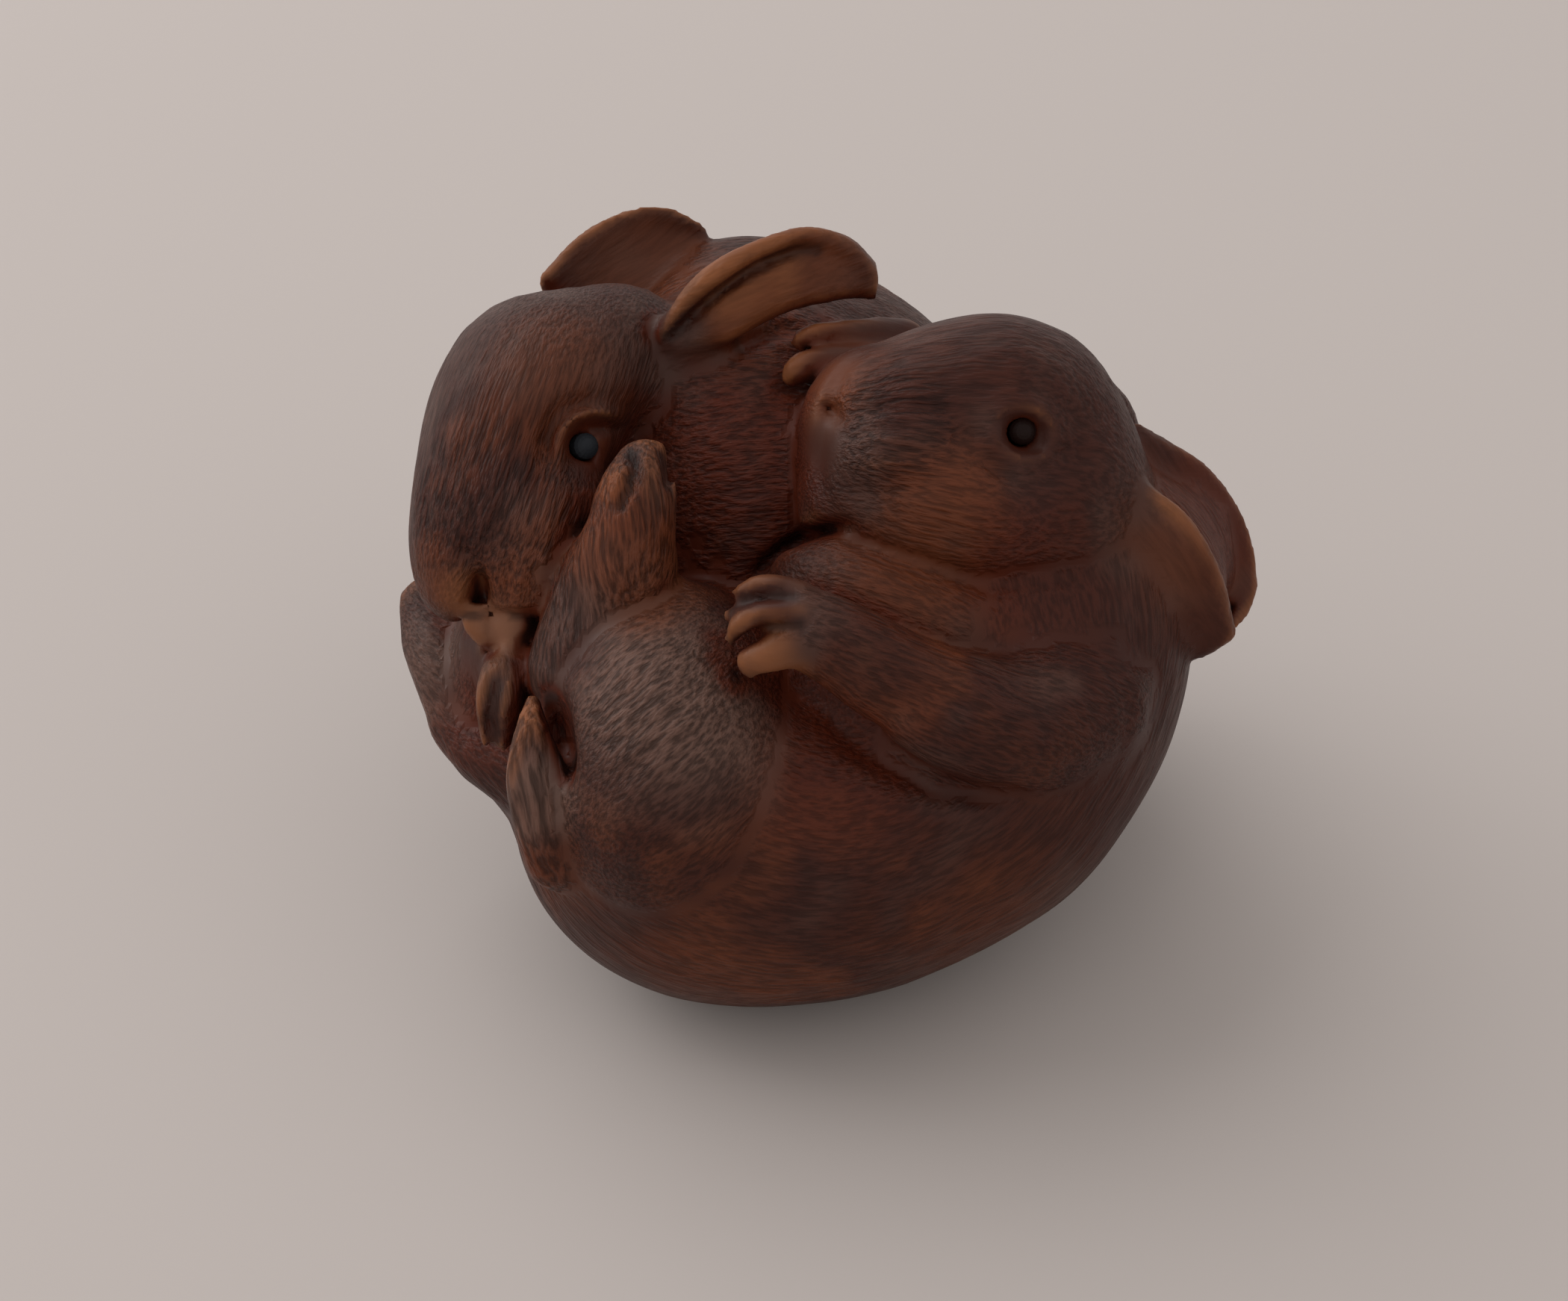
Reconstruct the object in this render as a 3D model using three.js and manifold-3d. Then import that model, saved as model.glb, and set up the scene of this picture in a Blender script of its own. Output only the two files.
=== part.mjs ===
// A netsuke of two rabbits huddled together, carved in the round from one piece of dark wood, with
// inlaid eyes. Millimetres, +Z up. The origin is on the table, under the middle of the carving.

import * as THREE from "three";
import { triTable } from "three/addons/objects/MarchingCubes.js";
import { mergeVertices } from "three/addons/utils/BufferGeometryUtils.js";
import Module from "manifold-3d";

// Driving dimensions, in mm and degrees
const CARVING_WIDTH = 41.2; // across the pair, from the far heel to the tip of the far ear
const REST_FLAT_DEPTH = 1; // how far the underside is rubbed down to a flat
const LEAN = 52; // how far the drawn face of the carving leans back from upright
const EYE_DIAMETER = 1.2; // pin of dark horn let into the wood
const EYE_LENGTH = 2.2; // straight part of the pin
const EYE_DOME = 0.35; // polished front of the pin, above its straight part
const EYE_SUNK = 0.1; // straight part's front edge, below the wood around it
const EYE_CLEARANCE = 0.3; // around and behind the pin
const CORD_HOLE_DIAMETER = 3.2;
const CORD_HOLE_SPACING = 9; // between the middles of the two holes in the back
const CORD_TUNNEL_DEPTH = 5.5; // of the curved tunnel that joins them

// Fineness of the faceted surface
const GRID_STEP = 0.42;
const SMOOTHING_PASSES = 3;
const CARVING_FACES = 8200;
const EYE_SIDES = 14;
const TUNNEL_SIDES = 12;
const TUNNEL_STEPS = 14;
const PATH_STEPS = 5; // between two points of a path

// The carver's drawing has x across, y up and z towards the viewer, in mm at this width. Every place
// and radius in it is a share of the drawn width, and the wood is that drawing at CARVING_WIDTH.
const DRAWN_WIDTH = 41.2;
const SCALE = CARVING_WIDTH / DRAWN_WIDTH;

const TINY = 1e-9;
const clamp = THREE.MathUtils.clamp;
const vector = (place) => new THREE.Vector3(...place);

// Steps of the carving. A field holds the distance to the surface, below zero inside the wood, and
// each step changes it inside the box where the step is felt.
const EDGE_OF_STEP = 2.5;

function step(places, reach, change) {
  const box = new THREE.Box3().setFromPoints(places).expandByScalar(reach);
  return { box, change };
}

// The smaller of two distances, with the crease between them filled over a width.
function joined(a, b, width) {
  const near = Math.max(width - Math.abs(a - b), 0) / width;
  return Math.min(a, b) - (near * near * width) / 4;
}

function added(places, reach, blend, distance) {
  return step(places, reach + EDGE_OF_STEP, (field, place) => joined(field, distance(place), blend));
}

function cutAway(places, reach, blend, distance) {
  return step(places, reach + EDGE_OF_STEP, (field, place) => -joined(-field, distance(place), blend));
}

// Rows: the direction along, the direction to the side, and the one across both.
function axesOf(along, side) {
  const a = vector(along).normalize();
  const s = vector(side).addScaledVector(a, -a.dot(vector(side))).normalize();
  const n = a.clone().cross(s);
  return new THREE.Matrix3(a.x, a.y, a.z, s.x, s.y, s.z, n.x, n.y, n.z);
}

// A rounded lump with three radii.
function egg(centre, radii, { blend = 1, along = [1, 0, 0], side = [0, 1, 0], cut = false } = {}) {
  const middle = vector(centre);
  const size = vector(radii);
  const turn = axesOf(along, side);
  const inside = new THREE.Vector3();
  const distance = (place) => {
    inside.copy(place).sub(middle).applyMatrix3(turn).divide(size);
    const share = inside.length();
    const slope = inside.divide(size).length() + TINY;
    return (share * (share - 1)) / slope;
  };
  const make = cut ? cutAway : added;
  return make([middle], Math.max(...radii), blend, distance);
}

// Points of a smooth curve through the given ones.
function smooth(points) {
  const curve = new THREE.CatmullRomCurve3(points, false, "catmullrom", 0.5);
  return curve.getPoints((points.length - 1) * PATH_STEPS);
}

const smoothNumbers = (numbers) => smooth(numbers.map((n) => new THREE.Vector3(n, 0, 0))).map((p) => p.x);

function spansOf(path) {
  const points = smooth(path.map(vector));
  return points.slice(1).map((end, i) => {
    const run = end.clone().sub(points[i]);
    return { start: points[i], run, square: run.lengthSq() };
  });
}

// A round limb along a path, with a radius at each of its points.
function limb(path, radii, { blend = 0.8 } = {}) {
  const spans = spansOf(path);
  const sizes = smoothNumbers(radii);
  const gap = new THREE.Vector3();
  const distance = (place) => {
    let least = Infinity;
    spans.forEach(({ start, run, square }, i) => {
      gap.copy(place).sub(start);
      const share = clamp(gap.dot(run) / square, 0, 1);
      const radius = sizes[i] + (sizes[i + 1] - sizes[i]) * share;
      least = Math.min(least, gap.addScaledVector(run, -share).length() - radius);
    });
    return least;
  };
  return added(path.map(vector), Math.max(...radii), blend, distance);
}

// An ear: a sheet along a path, with half widths to its side, rounded edges and a cupped face.
function sheet(path, widths, side, { thick = 0.55, cup = 0, blend = 0.6 } = {}) {
  const spans = spansOf(path);
  const sizes = smoothNumbers(widths);
  spans.forEach((span) => {
    span.length = Math.sqrt(span.square);
    span.axes = axesOf(span.run.toArray(), side);
  });
  const gap = new THREE.Vector3();
  const distance = (place) => {
    let least = Infinity;
    spans.forEach(({ start, length, axes }, i) => {
      gap.copy(place).sub(start).applyMatrix3(axes);
      const share = clamp(gap.x / length, 0, 1);
      const beyond = gap.x - share * length;
      const half = sizes[i] + (sizes[i + 1] - sizes[i]) * share;
      const lift = clamp(cup * (gap.y / half) ** 2, -1.5 * Math.abs(cup), 1.5 * Math.abs(cup));
      const outside = Math.max(Math.abs(gap.y) - half + thick, 0);
      gap.set(beyond, outside, gap.z - lift);
      least = Math.min(least, gap.length() - thick);
    });
    return least;
  };
  return added(path.map(vector), Math.max(...widths) + cup, blend, distance);
}

// How much of a drawn line or hollow is left at a height from the surface that it is drawn on.
const FADE_HEIGHT = 1.2;
const faded = (height, reach) => clamp((reach + FADE_HEIGHT - Math.abs(height)) / FADE_HEIGHT, 0, 1);

// A line cut (or raised, with a depth below zero) along a path on the seen side, finer at its ends.
function line(path, width, depth, { taper = 0.6, reach = 2.5 } = {}) {
  const spans = spansOf(path);
  const change = (field, place) => {
    let nearest = Infinity;
    let along = 0;
    let height = 0;
    spans.forEach(({ start, run }, i) => {
      const x = place.x - start.x;
      const y = place.y - start.y;
      const square = run.x * run.x + run.y * run.y + TINY;
      const share = clamp((x * run.x + y * run.y) / square, 0, 1);
      const gap = Math.sqrt((x - share * run.x) ** 2 + (y - share * run.y) ** 2);
      if (gap < nearest) {
        nearest = gap;
        along = (i + share) / spans.length;
        height = place.z - start.z - share * run.z;
      }
    });
    const strength = 1 - taper * Math.abs(2 * along - 1) ** 3;
    const spread = width * (0.5 + 0.5 * strength);
    return field + depth * strength * faded(height, reach) * Math.exp(-((nearest / spread) ** 2));
  };
  return step(path.map(vector), Math.max(3 * width, reach + FADE_HEIGHT), change);
}

// An elliptical shape as seen, turned in degrees: profile gives its depth from the share of the radii.
function oval(centre, radii, turn, reach, profile) {
  const middle = vector(centre);
  const cos = Math.cos(THREE.MathUtils.degToRad(turn));
  const sin = Math.sin(THREE.MathUtils.degToRad(turn));
  const change = (field, place) => {
    const x = place.x - middle.x;
    const y = place.y - middle.y;
    const share = Math.hypot((x * cos + y * sin) / radii[0], (y * cos - x * sin) / radii[1]);
    return field + profile(share) * faded(place.z - middle.z, reach);
  };
  return step([middle], Math.max(2.6 * Math.max(...radii), reach + FADE_HEIGHT), change);
}

const hollow = (centre, radii, turn, depth) => oval(centre, radii, turn, 3, (share) => depth * Math.exp(-share * share));

function ring(centre, radii, turn, width, height) {
  const mean = (radii[0] + radii[1]) / 2;
  return oval(centre, radii, turn, 2.5, (share) => -height * Math.exp(-((((share - 1) * mean) / width) ** 2)));
}

// The same steps once more on the other side of a head.
function onBothSides({ middle, across }, steps) {
  const normal = vector(across).normalize();
  const plane = new THREE.Plane().setFromNormalAndCoplanarPoint(normal, vector(middle));
  const mirror = (place) => place.addScaledVector(normal, -2 * plane.distanceToPoint(place));
  const seen = new THREE.Vector3();
  const others = steps.map(({ box, change }) => {
    const corners = [0, 1, 2, 3, 4, 5, 6, 7].map(
      (bits) =>
        new THREE.Vector3(
          bits & 1 ? box.max.x : box.min.x,
          bits & 2 ? box.max.y : box.min.y,
          bits & 4 ? box.max.z : box.min.z,
        ),
    );
    return step(corners.map(mirror), 0, (field, place) => change(field, mirror(seen.copy(place))));
  });
  return [...steps, ...others];
}

// The rear rabbit lies behind with its head hanging down on the left, and the front rabbit is curled
// before it, with its head up on the right and its hind foot raised in the middle.
const REAR_HEAD = { middle: [-14.2, 9.4, 5], across: [0.62, -0.12, 0.775] };

const rearBody = {
  back: egg([-3.4, 4.6, -5.5], [12.8, 13.1, 11], { blend: 2 }),
  rump: egg([6.3, -1.5, -7], [10.8, 11.5, 10], { blend: 4 }),
  belly: egg([-5.5, -4.5, -9.2], [7.5, 6.8, 6.8], { blend: 3 }),
  neck: egg([-4.6, 8.3, 0.5], [6.3, 6.3, 6.4], { blend: 3 }),
  chest: egg([-3.6, 4.2, 1.4], [4.6, 5.2, 5], { blend: 2.5 }),
  nape: egg([-4.1, 14.7, -4.5], [5, 3.7, 4.5], { blend: 2 }),
  haunch: egg([8.2, -1.2, -11.8], [7.2, 6.4, 5.8], { blend: 1.2, along: [0.6, 0.75, 0.2] }),
  foot: limb(
    [[12.8, 1.5, -11], [14.2, 5.5, -8], [13.8, 8.8, -4.6], [12.2, 10.8, -1.8]],
    [3, 2.4, 1.9, 1.4],
    { blend: 1 },
  ),
  tail: limb([[12, -9.5, -8.5], [14.6, -6.2, -7.2], [16.2, -2, -5.4]], [1.7, 1.3, 0.4], { blend: 0.5 }),
};

const frontBody = {
  farHip: egg([-15.6, -5.3, 0], [2.9, 4, 4.4], { blend: 1.5 }),
  chest: egg([8.2, -3.5, 3], [8.5, 8, 9], { blend: 1 }),
  belly: egg([1.5, -9, 2.5], [8.6, 9, 10], { blend: 3 }),
  side: egg([6, -7.9, 2.5], [8, 7.9, 9.5], { blend: 3 }),
  rump: egg([-4.7, -10.1, 3], [10.4, 9.1, 9.8], { blend: 4 }),
  neck: egg([11.3, 0.8, 5], [5.2, 5.6, 5.4], { blend: 3 }),
  throat: egg([2.3, -0.4, 9.2], [5.6, 3.1, 4], { blend: 2, along: [1, -0.35, 0] }),
  haunch: egg([-7.5, -6.8, 8.5], [6, 7.8, 6.9], { blend: 1.4 }),
};

const rearHead = {
  skull: egg([-13.9, 9.3, 5], [5.2, 4.7, 5.2], { blend: 1.2, along: [-0.35, -0.92, 0.2] }),
  crown: egg([-11.2, 11.2, 4], [4.4, 3.4, 3.9], { blend: 1.6, along: [-0.75, -0.62, 0.1] }),
  muzzle: egg([-15.7, 5.3, 6], [5.4, 3.8, 4.4], { blend: 2.2, along: [-0.3, -0.95, 0.1] }),
  nose: egg([-17.2, 1.7, 7], [2.8, 2, 2.5], { blend: 1.4, along: [-0.12, -0.99, 0.1] }),
  lip: egg([-14.5, 1.5, 7.8], [2.7, 1.8, 2.2], { blend: 0.7, along: [-0.1, -0.99, 0.1] }),
  cheek: egg([-13, 3.9, 8], [3.6, 2.3, 2.4], { blend: 1.5, along: [-0.3, -0.9, 0.1] }),
  chin: egg([-14.2, -2.5, 5.4], [2.9, 2.8, 2.9], { blend: 0.5 }),
  teeth: sheet([[-15.45, -0.6, 7.9], [-15.4, -1.5, 7.7], [-15.35, -2.2, 7.3]], [1.9, 1.35, 0.7], [1, 0, 0], {
    thick: 0.6,
    blend: 0.12,
  }),
  frontShank: egg([-15.9, -3.5, 2.6], [2.5, 4.2, 3.4], { blend: 1.2 }),
};

const frontHead = {
  skull: egg([7, 8.1, 7.5], [6.1, 5, 5.8], { blend: 1.2, along: [1, 0.1, -0.1] }),
  muzzle: egg([2.7, 7.3, 9], [4.2, 3.9, 4.4], { blend: 2.4, along: [1, 0.05, -0.1] }),
  cheek: egg([5.5, 4.2, 10], [5, 3.1, 3.4], { blend: 2.6, along: [1, -0.12, 0] }),
  occiput: egg([11.1, 5.2, 7.4], [3.4, 3.8, 4.6], { blend: 2 }),
  nose: egg([0.6, 8.9, 9.6], [1.5, 2.2, 2.3], { blend: 1.4, along: [0.9, -0.4, 0] }),
  chin: egg([0.5, 4.4, 9], [1.9, 2.1, 2.6], { blend: 1.6 }),
};

const frontLegs = {
  hindFoot: limb(
    [[-10.3, -3.1, 8.6], [-9.9, -0.1, 9.6], [-9.3, 2.1, 11.6], [-8.8, 4.6, 12.4], [-8.6, 5.8, 12]],
    [3.7, 2.9, 2.2, 1.75, 1.35],
    { blend: 0.5 },
  ),
  farFoot: limb(
    [[-16.3, -6.6, 2], [-17.6, -4.8, 2.6], [-18.8, -2.6, 2], [-19.9, -0.5, 1], [-20.2, 0.4, 0.5]],
    [1.9, 1.9, 1.75, 1.1, 0.7],
  ),
  farLeg: limb([[-17.8, -6, 3], [-16.2, -7.1, 4], [-13.8, -8.1, 5]], [1.35, 1.8, 2.2]),
  tailHollow: egg([-12.4, -6.2, 13], [2.3, 0.9, 3.6], { blend: 0.6, along: [-0.2, 1, 0], cut: true }),
  tail: limb(
    [[-12.5, -11.6, 9], [-12.9, -9.8, 10.4], [-13.3, -8, 11.4], [-13.5, -6.2, 11.6], [-13.5, -4.5, 11.4]],
    [1.7, 1.6, 1.35, 0.85, 0.3],
    { blend: 0.6 },
  ),
  arm: limb(
    [[10.3, -4.4, 8.5], [7.9, -5.6, 11], [5.4, -5.2, 12.8], [2.8, -3.8, 14], [0.3, -2.2, 14.8], [-2, -1.1, 15]],
    [4.2, 3.4, 2.8, 2.3, 1.95, 1.75],
    { blend: 0.5 },
  ),
  upperToe: limb(
    [[-2, -0.3, 15.2], [-3.2, 0.1, 15.4], [-4.1, -0.3, 15], [-4.5, -0.8, 14.4]],
    [1.1, 0.85, 0.7, 0.5],
    { blend: 0.25 },
  ),
  middleToe: limb(
    [[-2, -1, 15.8], [-3.2, -0.8, 16], [-4, -1.3, 15.8], [-4.4, -1.9, 15]],
    [1.1, 0.8, 0.7, 0.5],
    { blend: 0.2 },
  ),
  lowerToe: limb(
    [[-1.8, -1.9, 15.6], [-2.8, -2.4, 15.6], [-3.6, -2.7, 15.2], [-3.8, -3.1, 14.6]],
    [1.2, 0.9, 0.75, 0.5],
    { blend: 0.2 },
  ),
  farUpperToe: limb(
    [[3.3, 12.2, 4], [0.8, 12.5, 5.6], [-0.9, 12.4, 6.6], [-1.6, 12, 6.6]],
    [1.2, 0.85, 0.75, 0.45],
    { blend: 0.3 },
  ),
  farLowerToe: limb(
    [[2.9, 10.9, 5], [0.3, 10.9, 6.8], [-1.4, 10.7, 7.4], [-2, 10.3, 7.2]],
    [1.4, 0.95, 0.75, 0.5],
    { blend: 0.3 },
  ),
  rearPaw: limb([[-14.9, -2.7, 7.5], [-15.3, -4.5, 8.4], [-15.5, -6.3, 8.2]], [1.2, 1.15, 0.8], { blend: 0.4 }),
};

const rearEars = {
  near: sheet(
    [[-7.5, 12.4, 6.5], [-5, 13.5, 7.5], [-2.3, 14.8, 6.9], [0.1, 15.5, 5.7], [1.4, 15.2, 4.7]],
    [0.9, 1.7, 1.85, 1.7, 1.1],
    [-0.3, 0.93, 0.25],
    { thick: 0.6, blend: 0.5 },
  ),
  nearRim: limb(
    [
      [-7.8, 12.2, 7], [-6.6, 13.7, 8], [-5.1, 14.9, 8.6], [-2.9, 16.1, 8],
      [-1, 16.8, 7], [0.6, 16.4, 6], [1.7, 15.3, 5.2], [1.8, 14.3, 5],
    ],
    [0.4, 0.62, 0.7, 0.62, 0.5, 0.42, 0.4, 0.3],
    { blend: 0.4 },
  ),
  root: egg([-6.2, 12.1, 4.5], [2.8, 1.8, 2.2], { blend: 1, along: [0.9, 0.4, 0] }),
  far: sheet(
    [[-12.9, 14.4, 0], [-11.1, 16.6, -1.2], [-8.8, 18.2, -2.6], [-6.7, 18.4, -3.6]],
    [2.2, 2.1, 1.6, 0.7],
    [-0.62, 0.72, 0.3],
    { thick: 0.5, cup: 0.6 },
  ),
};

const frontEars = {
  nape: egg([15.5, 3.1, 3], [4.4, 3.4, 4], { blend: 1.6, along: [0.55, -0.8, 0], side: [1, 0, 0] }),
  bed: egg([15.2, 2.2, 6.2], [4, 2.4, 2.4], { blend: 1, along: [0.6, -0.8, 0], side: [1, 0, 0] }),
  near: sheet(
    [[11.3, 4.6, 9.4], [13.6, 2.2, 9.3], [15.6, 0.3, 8.3], [17.6, -1.8, 6.6]],
    [2, 2.9, 2.4, 1.2],
    [0.8, 0.5, 0.3],
    { thick: 0.6, blend: 0.7 },
  ),
  far: sheet(
    [[14.3, 6.8, 6], [16.4, 5.2, 4.8], [18.2, 2.9, 3.8], [19.3, 0.4, 3]],
    [1, 1.6, 1.6, 0.7],
    [0.75, 0.6, -0.2],
    { thick: 0.55, cup: 0.3 },
  ),
  farRim: limb(
    [
      [14.1, 7.9, 6], [15.7, 6.9, 5.4], [17.3, 5.7, 4.8], [18.7, 4.1, 4],
      [19.7, 2.3, 3.4], [19.9, 0.8, 3], [19.4, -0.4, 3],
    ],
    [0.4, 0.5, 0.5, 0.42, 0.4, 0.4, 0.35],
    { blend: 0.3 },
  ),
};

const rearEyes = onBothSides(REAR_HEAD, [
  hollow([-10.8, 7.1, 8.9], [1.9, 1.5], 25, 0.8),
  hollow([-10.6, 7.05, 9], [1.1, 0.9], 25, -0.6),
  line([[-12.5, 6.3, 9.8], [-12.2, 7.5, 9.6], [-11.2, 8.3, 9.2], [-9.7, 8.4, 7.7]], 0.34, -0.4),
  line([[-12.9, 5.8, 10.2], [-13, 7.2, 9.8], [-12.3, 8.5, 9.6], [-10.9, 9.2, 9.1]], 0.8, 0.25),
]);

const faceLines = {
  rearNostril: line([[-16.1, 1, 9.2], [-16.2, 0.1, 8.5], [-16.2, -0.8, 8]], 0.3, 0.8, { taper: 0.3, reach: 0.8 }),
  rearMouth: line([[-16.3, 0.6, 8.9], [-16.4, -0.3, 8.3], [-16.4, -1.1, 8]], 0.55, 0.6, { taper: 0, reach: 0.8 }),
  rearNoseSide: line([[-17, 2.2, 9.7], [-16.5, 1.7, 9.5], [-16.2, 0.8, 8.9]], 0.3, 0.35),
  frontEyeHollow: hollow([8.1, 7, 12.7], [2.7, 2], -15, 0.7),
  frontEyeLid: ring([8.3, 7.2, 12.8], [1.38, 1.1], -25, 0.32, 0.5),
  frontNoseEdge: line(
    [[1.2, 10.9, 11.4], [0.4, 10.2, 11.6], [-0.1, 9, 12], [-0.6, 7, 11.9], [-0.6, 5, 11.6], [0, 3.7, 11.6]],
    0.35,
    0.22,
  ),
  frontPadEdge: line([[0.6, 4.6, 12.3], [2.5, 4.8, 13.1], [4.2, 5.4, 13.4], [5.1, 6.1, 13.3]], 0.6, 0.18),
  frontPad: hollow([1.8, 6.2, 13.6], [2, 1.2], 0, -0.35),
  frontJaw: line(
    [[-0.2, 3.4, 11.3], [1.5, 2.2, 11.6], [4, 1.2, 11.8], [6.5, 0.7, 11], [9.3, 0.9, 10.8], [11.8, 1.2, 10.8]],
    0.7,
    0.3,
  ),
  frontChinSlot: line([[-3.8, 1.1, 6.6], [-2.3, 2.4, 6.8], [-0.5, 3, 10.4], [0.7, 3.2, 11.3]], 0.32, 0.7),
};

const bodyLines = {
  crease: line(
    [[-2.3, -4.1, 11.3], [-0.7, -5, 11.2], [0.7, -6.4, 11.8], [2.6, -7.6, 12], [5, -8.5, 12], [7.8, -8.7, 12.1]],
    0.8,
    0.7,
  ),
  elbow: line([[1.4, -6.6, 11.9], [2.4, -4.9, 15.9], [4.4, -4.2, 15.9]], 0.6, 0.2),
  flank: hollow([3.3, -11.1, 12.1], [4, 2.2], -20, 0.35),
  rearEarSlot: line(
    [
      [-7.6, 12.1, 7.3], [-6.5, 13.1, 7.6], [-5.4, 14, 8],
      [-3.8, 15.2, 7.9], [-2.3, 15.9, 7.5], [-1.2, 16.3, 7.5],
    ],
    0.36,
    0.5,
    { reach: 0.3 },
  ),
  rearEarGap: line([[-4.2, 11.9, 6.5], [-1.9, 13, 6.5], [0.3, 13.5, 5.5], [2, 13.8, 4.5]], 0.4, 0.9, { reach: 1.5 }),
};

const CARVING_STEPS = [
  rearBody, frontBody, rearHead, frontHead, frontLegs, rearEars, frontEars, rearEyes, faceLines, bodyLines,
].flatMap((group) => Object.values(group));

// The field of distances on a grid that holds every step.
function fieldOf(steps) {
  const box = steps.reduce((all, { box: own }) => all.union(own), new THREE.Box3());
  const origin = box.min.clone();
  const counts = box.getSize(new THREE.Vector3()).divideScalar(GRID_STEP).ceil().addScalar(1);
  const strides = [1, counts.x, counts.x * counts.y];
  const values = new Float32Array(strides[2] * counts.z).fill(box.getSize(new THREE.Vector3()).length());
  const place = new THREE.Vector3();
  steps.forEach(({ box: own, change }) => {
    const from = own.min.clone().sub(origin).divideScalar(GRID_STEP).ceil();
    const to = own.max.clone().sub(origin).divideScalar(GRID_STEP).floor();
    for (let k = from.z; k <= to.z; k++) {
      for (let j = from.y; j <= to.y; j++) {
        for (let i = from.x; i <= to.x; i++) {
          const at = i + j * strides[1] + k * strides[2];
          place.set(i, j, k).multiplyScalar(GRID_STEP).add(origin);
          values[at] = change(values[at], place);
        }
      }
    }
  });
  return { origin, counts, strides, values };
}

// Corners of a grid cell and the pairs of them that its edges join, in the order of the case table.
const CORNERS = [[0, 0, 0], [1, 0, 0], [1, 1, 0], [0, 1, 0], [0, 0, 1], [1, 0, 1], [1, 1, 1], [0, 1, 1]];
const EDGES = [[0, 1], [1, 2], [3, 2], [0, 3], [4, 5], [5, 6], [7, 6], [4, 7], [0, 4], [1, 5], [2, 6], [3, 7]];
const ENTRIES_PER_CASE = 16;
const CORNER_MARGIN = 0.06; // as a share of an edge, kept between a crossing and the edge's ends

// The surface where the field is zero: one point on each grid edge that it crosses.
function surfaceOf({ origin, counts, strides, values }) {
  const points = [];
  const faces = [];
  const pointOnEdge = new Map();
  const cornerSteps = CORNERS.map(([i, j, k]) => i + j * strides[1] + k * strides[2]);
  const edgeAxes = EDGES.map(([a, b]) => CORNERS[b].findIndex((value, axis) => value !== CORNERS[a][axis]));

  function crossing(i, j, k, cell, edge) {
    const [a, b] = EDGES[edge];
    const key = (cell + cornerSteps[a]) * 3 + edgeAxes[edge];
    if (!pointOnEdge.has(key)) {
      const start = values[cell + cornerSteps[a]];
      const end = values[cell + cornerSteps[b]];
      const share = clamp(start / (start - end), CORNER_MARGIN, 1 - CORNER_MARGIN);
      const place = new THREE.Vector3(i, j, k).add(vector(CORNERS[a]));
      place.setComponent(edgeAxes[edge], place.getComponent(edgeAxes[edge]) + share);
      pointOnEdge.set(key, points.length);
      points.push(place.multiplyScalar(GRID_STEP).add(origin));
    }
    return pointOnEdge.get(key);
  }

  for (let k = 0; k < counts.z - 1; k++) {
    for (let j = 0; j < counts.y - 1; j++) {
      for (let i = 0; i < counts.x - 1; i++) {
        const cell = i + j * strides[1] + k * strides[2];
        const bits = cornerSteps.reduce((sum, step, c) => sum + (values[cell + step] > 0 ? 1 << c : 0), 0);
        for (let at = bits * ENTRIES_PER_CASE; triTable[at] >= 0; at += 3) {
          faces.push([0, 1, 2].map((corner) => crossing(i, j, k, cell, triTable[at + corner])));
        }
      }
    }
  }
  return { points, faces };
}

// The largest connected part of a surface, without specks that a deep line left loose.
function largestPart({ points, faces }) {
  const parents = points.map((_, i) => i);
  const rootOf = (i) => {
    while (parents[i] !== i) {
      parents[i] = parents[parents[i]];
      i = parents[i];
    }
    return i;
  };
  faces.forEach(([a, b, c]) => {
    parents[rootOf(a)] = rootOf(b);
    parents[rootOf(b)] = rootOf(c);
  });
  const sizes = new Map();
  faces.forEach(([a]) => sizes.set(rootOf(a), (sizes.get(rootOf(a)) ?? 0) + 1));
  const largest = [...sizes].reduce((best, entry) => (entry[1] > best[1] ? entry : best))[0];
  return { points, faces: faces.filter(([a]) => rootOf(a) === largest) };
}

// Points eased half way to the middle of their neighbours, which takes the grid's steps out of edges.
function eased({ points, faces }) {
  const sums = points.map(() => new THREE.Vector3());
  const counts = new Int32Array(points.length);
  faces.forEach((face) =>
    face.forEach((point, corner) => {
      sums[point].add(points[face[(corner + 1) % 3]]);
      counts[point] += 1;
    }),
  );
  const moved = points.map((point, i) => (counts[i] ? sums[i].divideScalar(counts[i]).lerp(point, 0.5) : point));
  return { points: moved, faces };
}

// A queue that gives back the entry with the lowest cost.
class CheapestFirst {
  entries = [];

  push(entry) {
    const list = this.entries;
    let at = list.length;
    list.push(entry);
    while (at > 0) {
      const parent = (at - 1) >> 1;
      if (list[parent].cost <= entry.cost) break;
      list[at] = list[parent];
      at = parent;
    }
    list[at] = entry;
  }

  pop() {
    const list = this.entries;
    const first = list[0];
    const last = list.pop();
    let at = 0;
    while (list.length && 2 * at + 1 < list.length) {
      const left = 2 * at + 1;
      const right = left + 1 < list.length && list[left + 1].cost < list[left].cost;
      const child = right ? left + 1 : left;
      if (list[child].cost >= last.cost) break;
      list[at] = list[child];
      at = child;
    }
    if (list.length) list[at] = last;
    return first;
  }
}

// The sum of squared distances to planes, as the ten numbers of a symmetric 4 by 4 matrix.
const squaredPlane = ({ x, y, z }, w) => [x * x, x * y, x * z, x * w, y * y, y * z, y * w, z * z, z * w, w * w];

function squaredDistance(q, { x, y, z }) {
  const inX = q[0] * x + 2 * (q[1] * y + q[2] * z + q[3]);
  const inY = q[4] * y + 2 * (q[5] * z + q[6]);
  const inZ = q[7] * z + 2 * q[8];
  return inX * x + inY * y + inZ * z + q[9];
}

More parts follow.
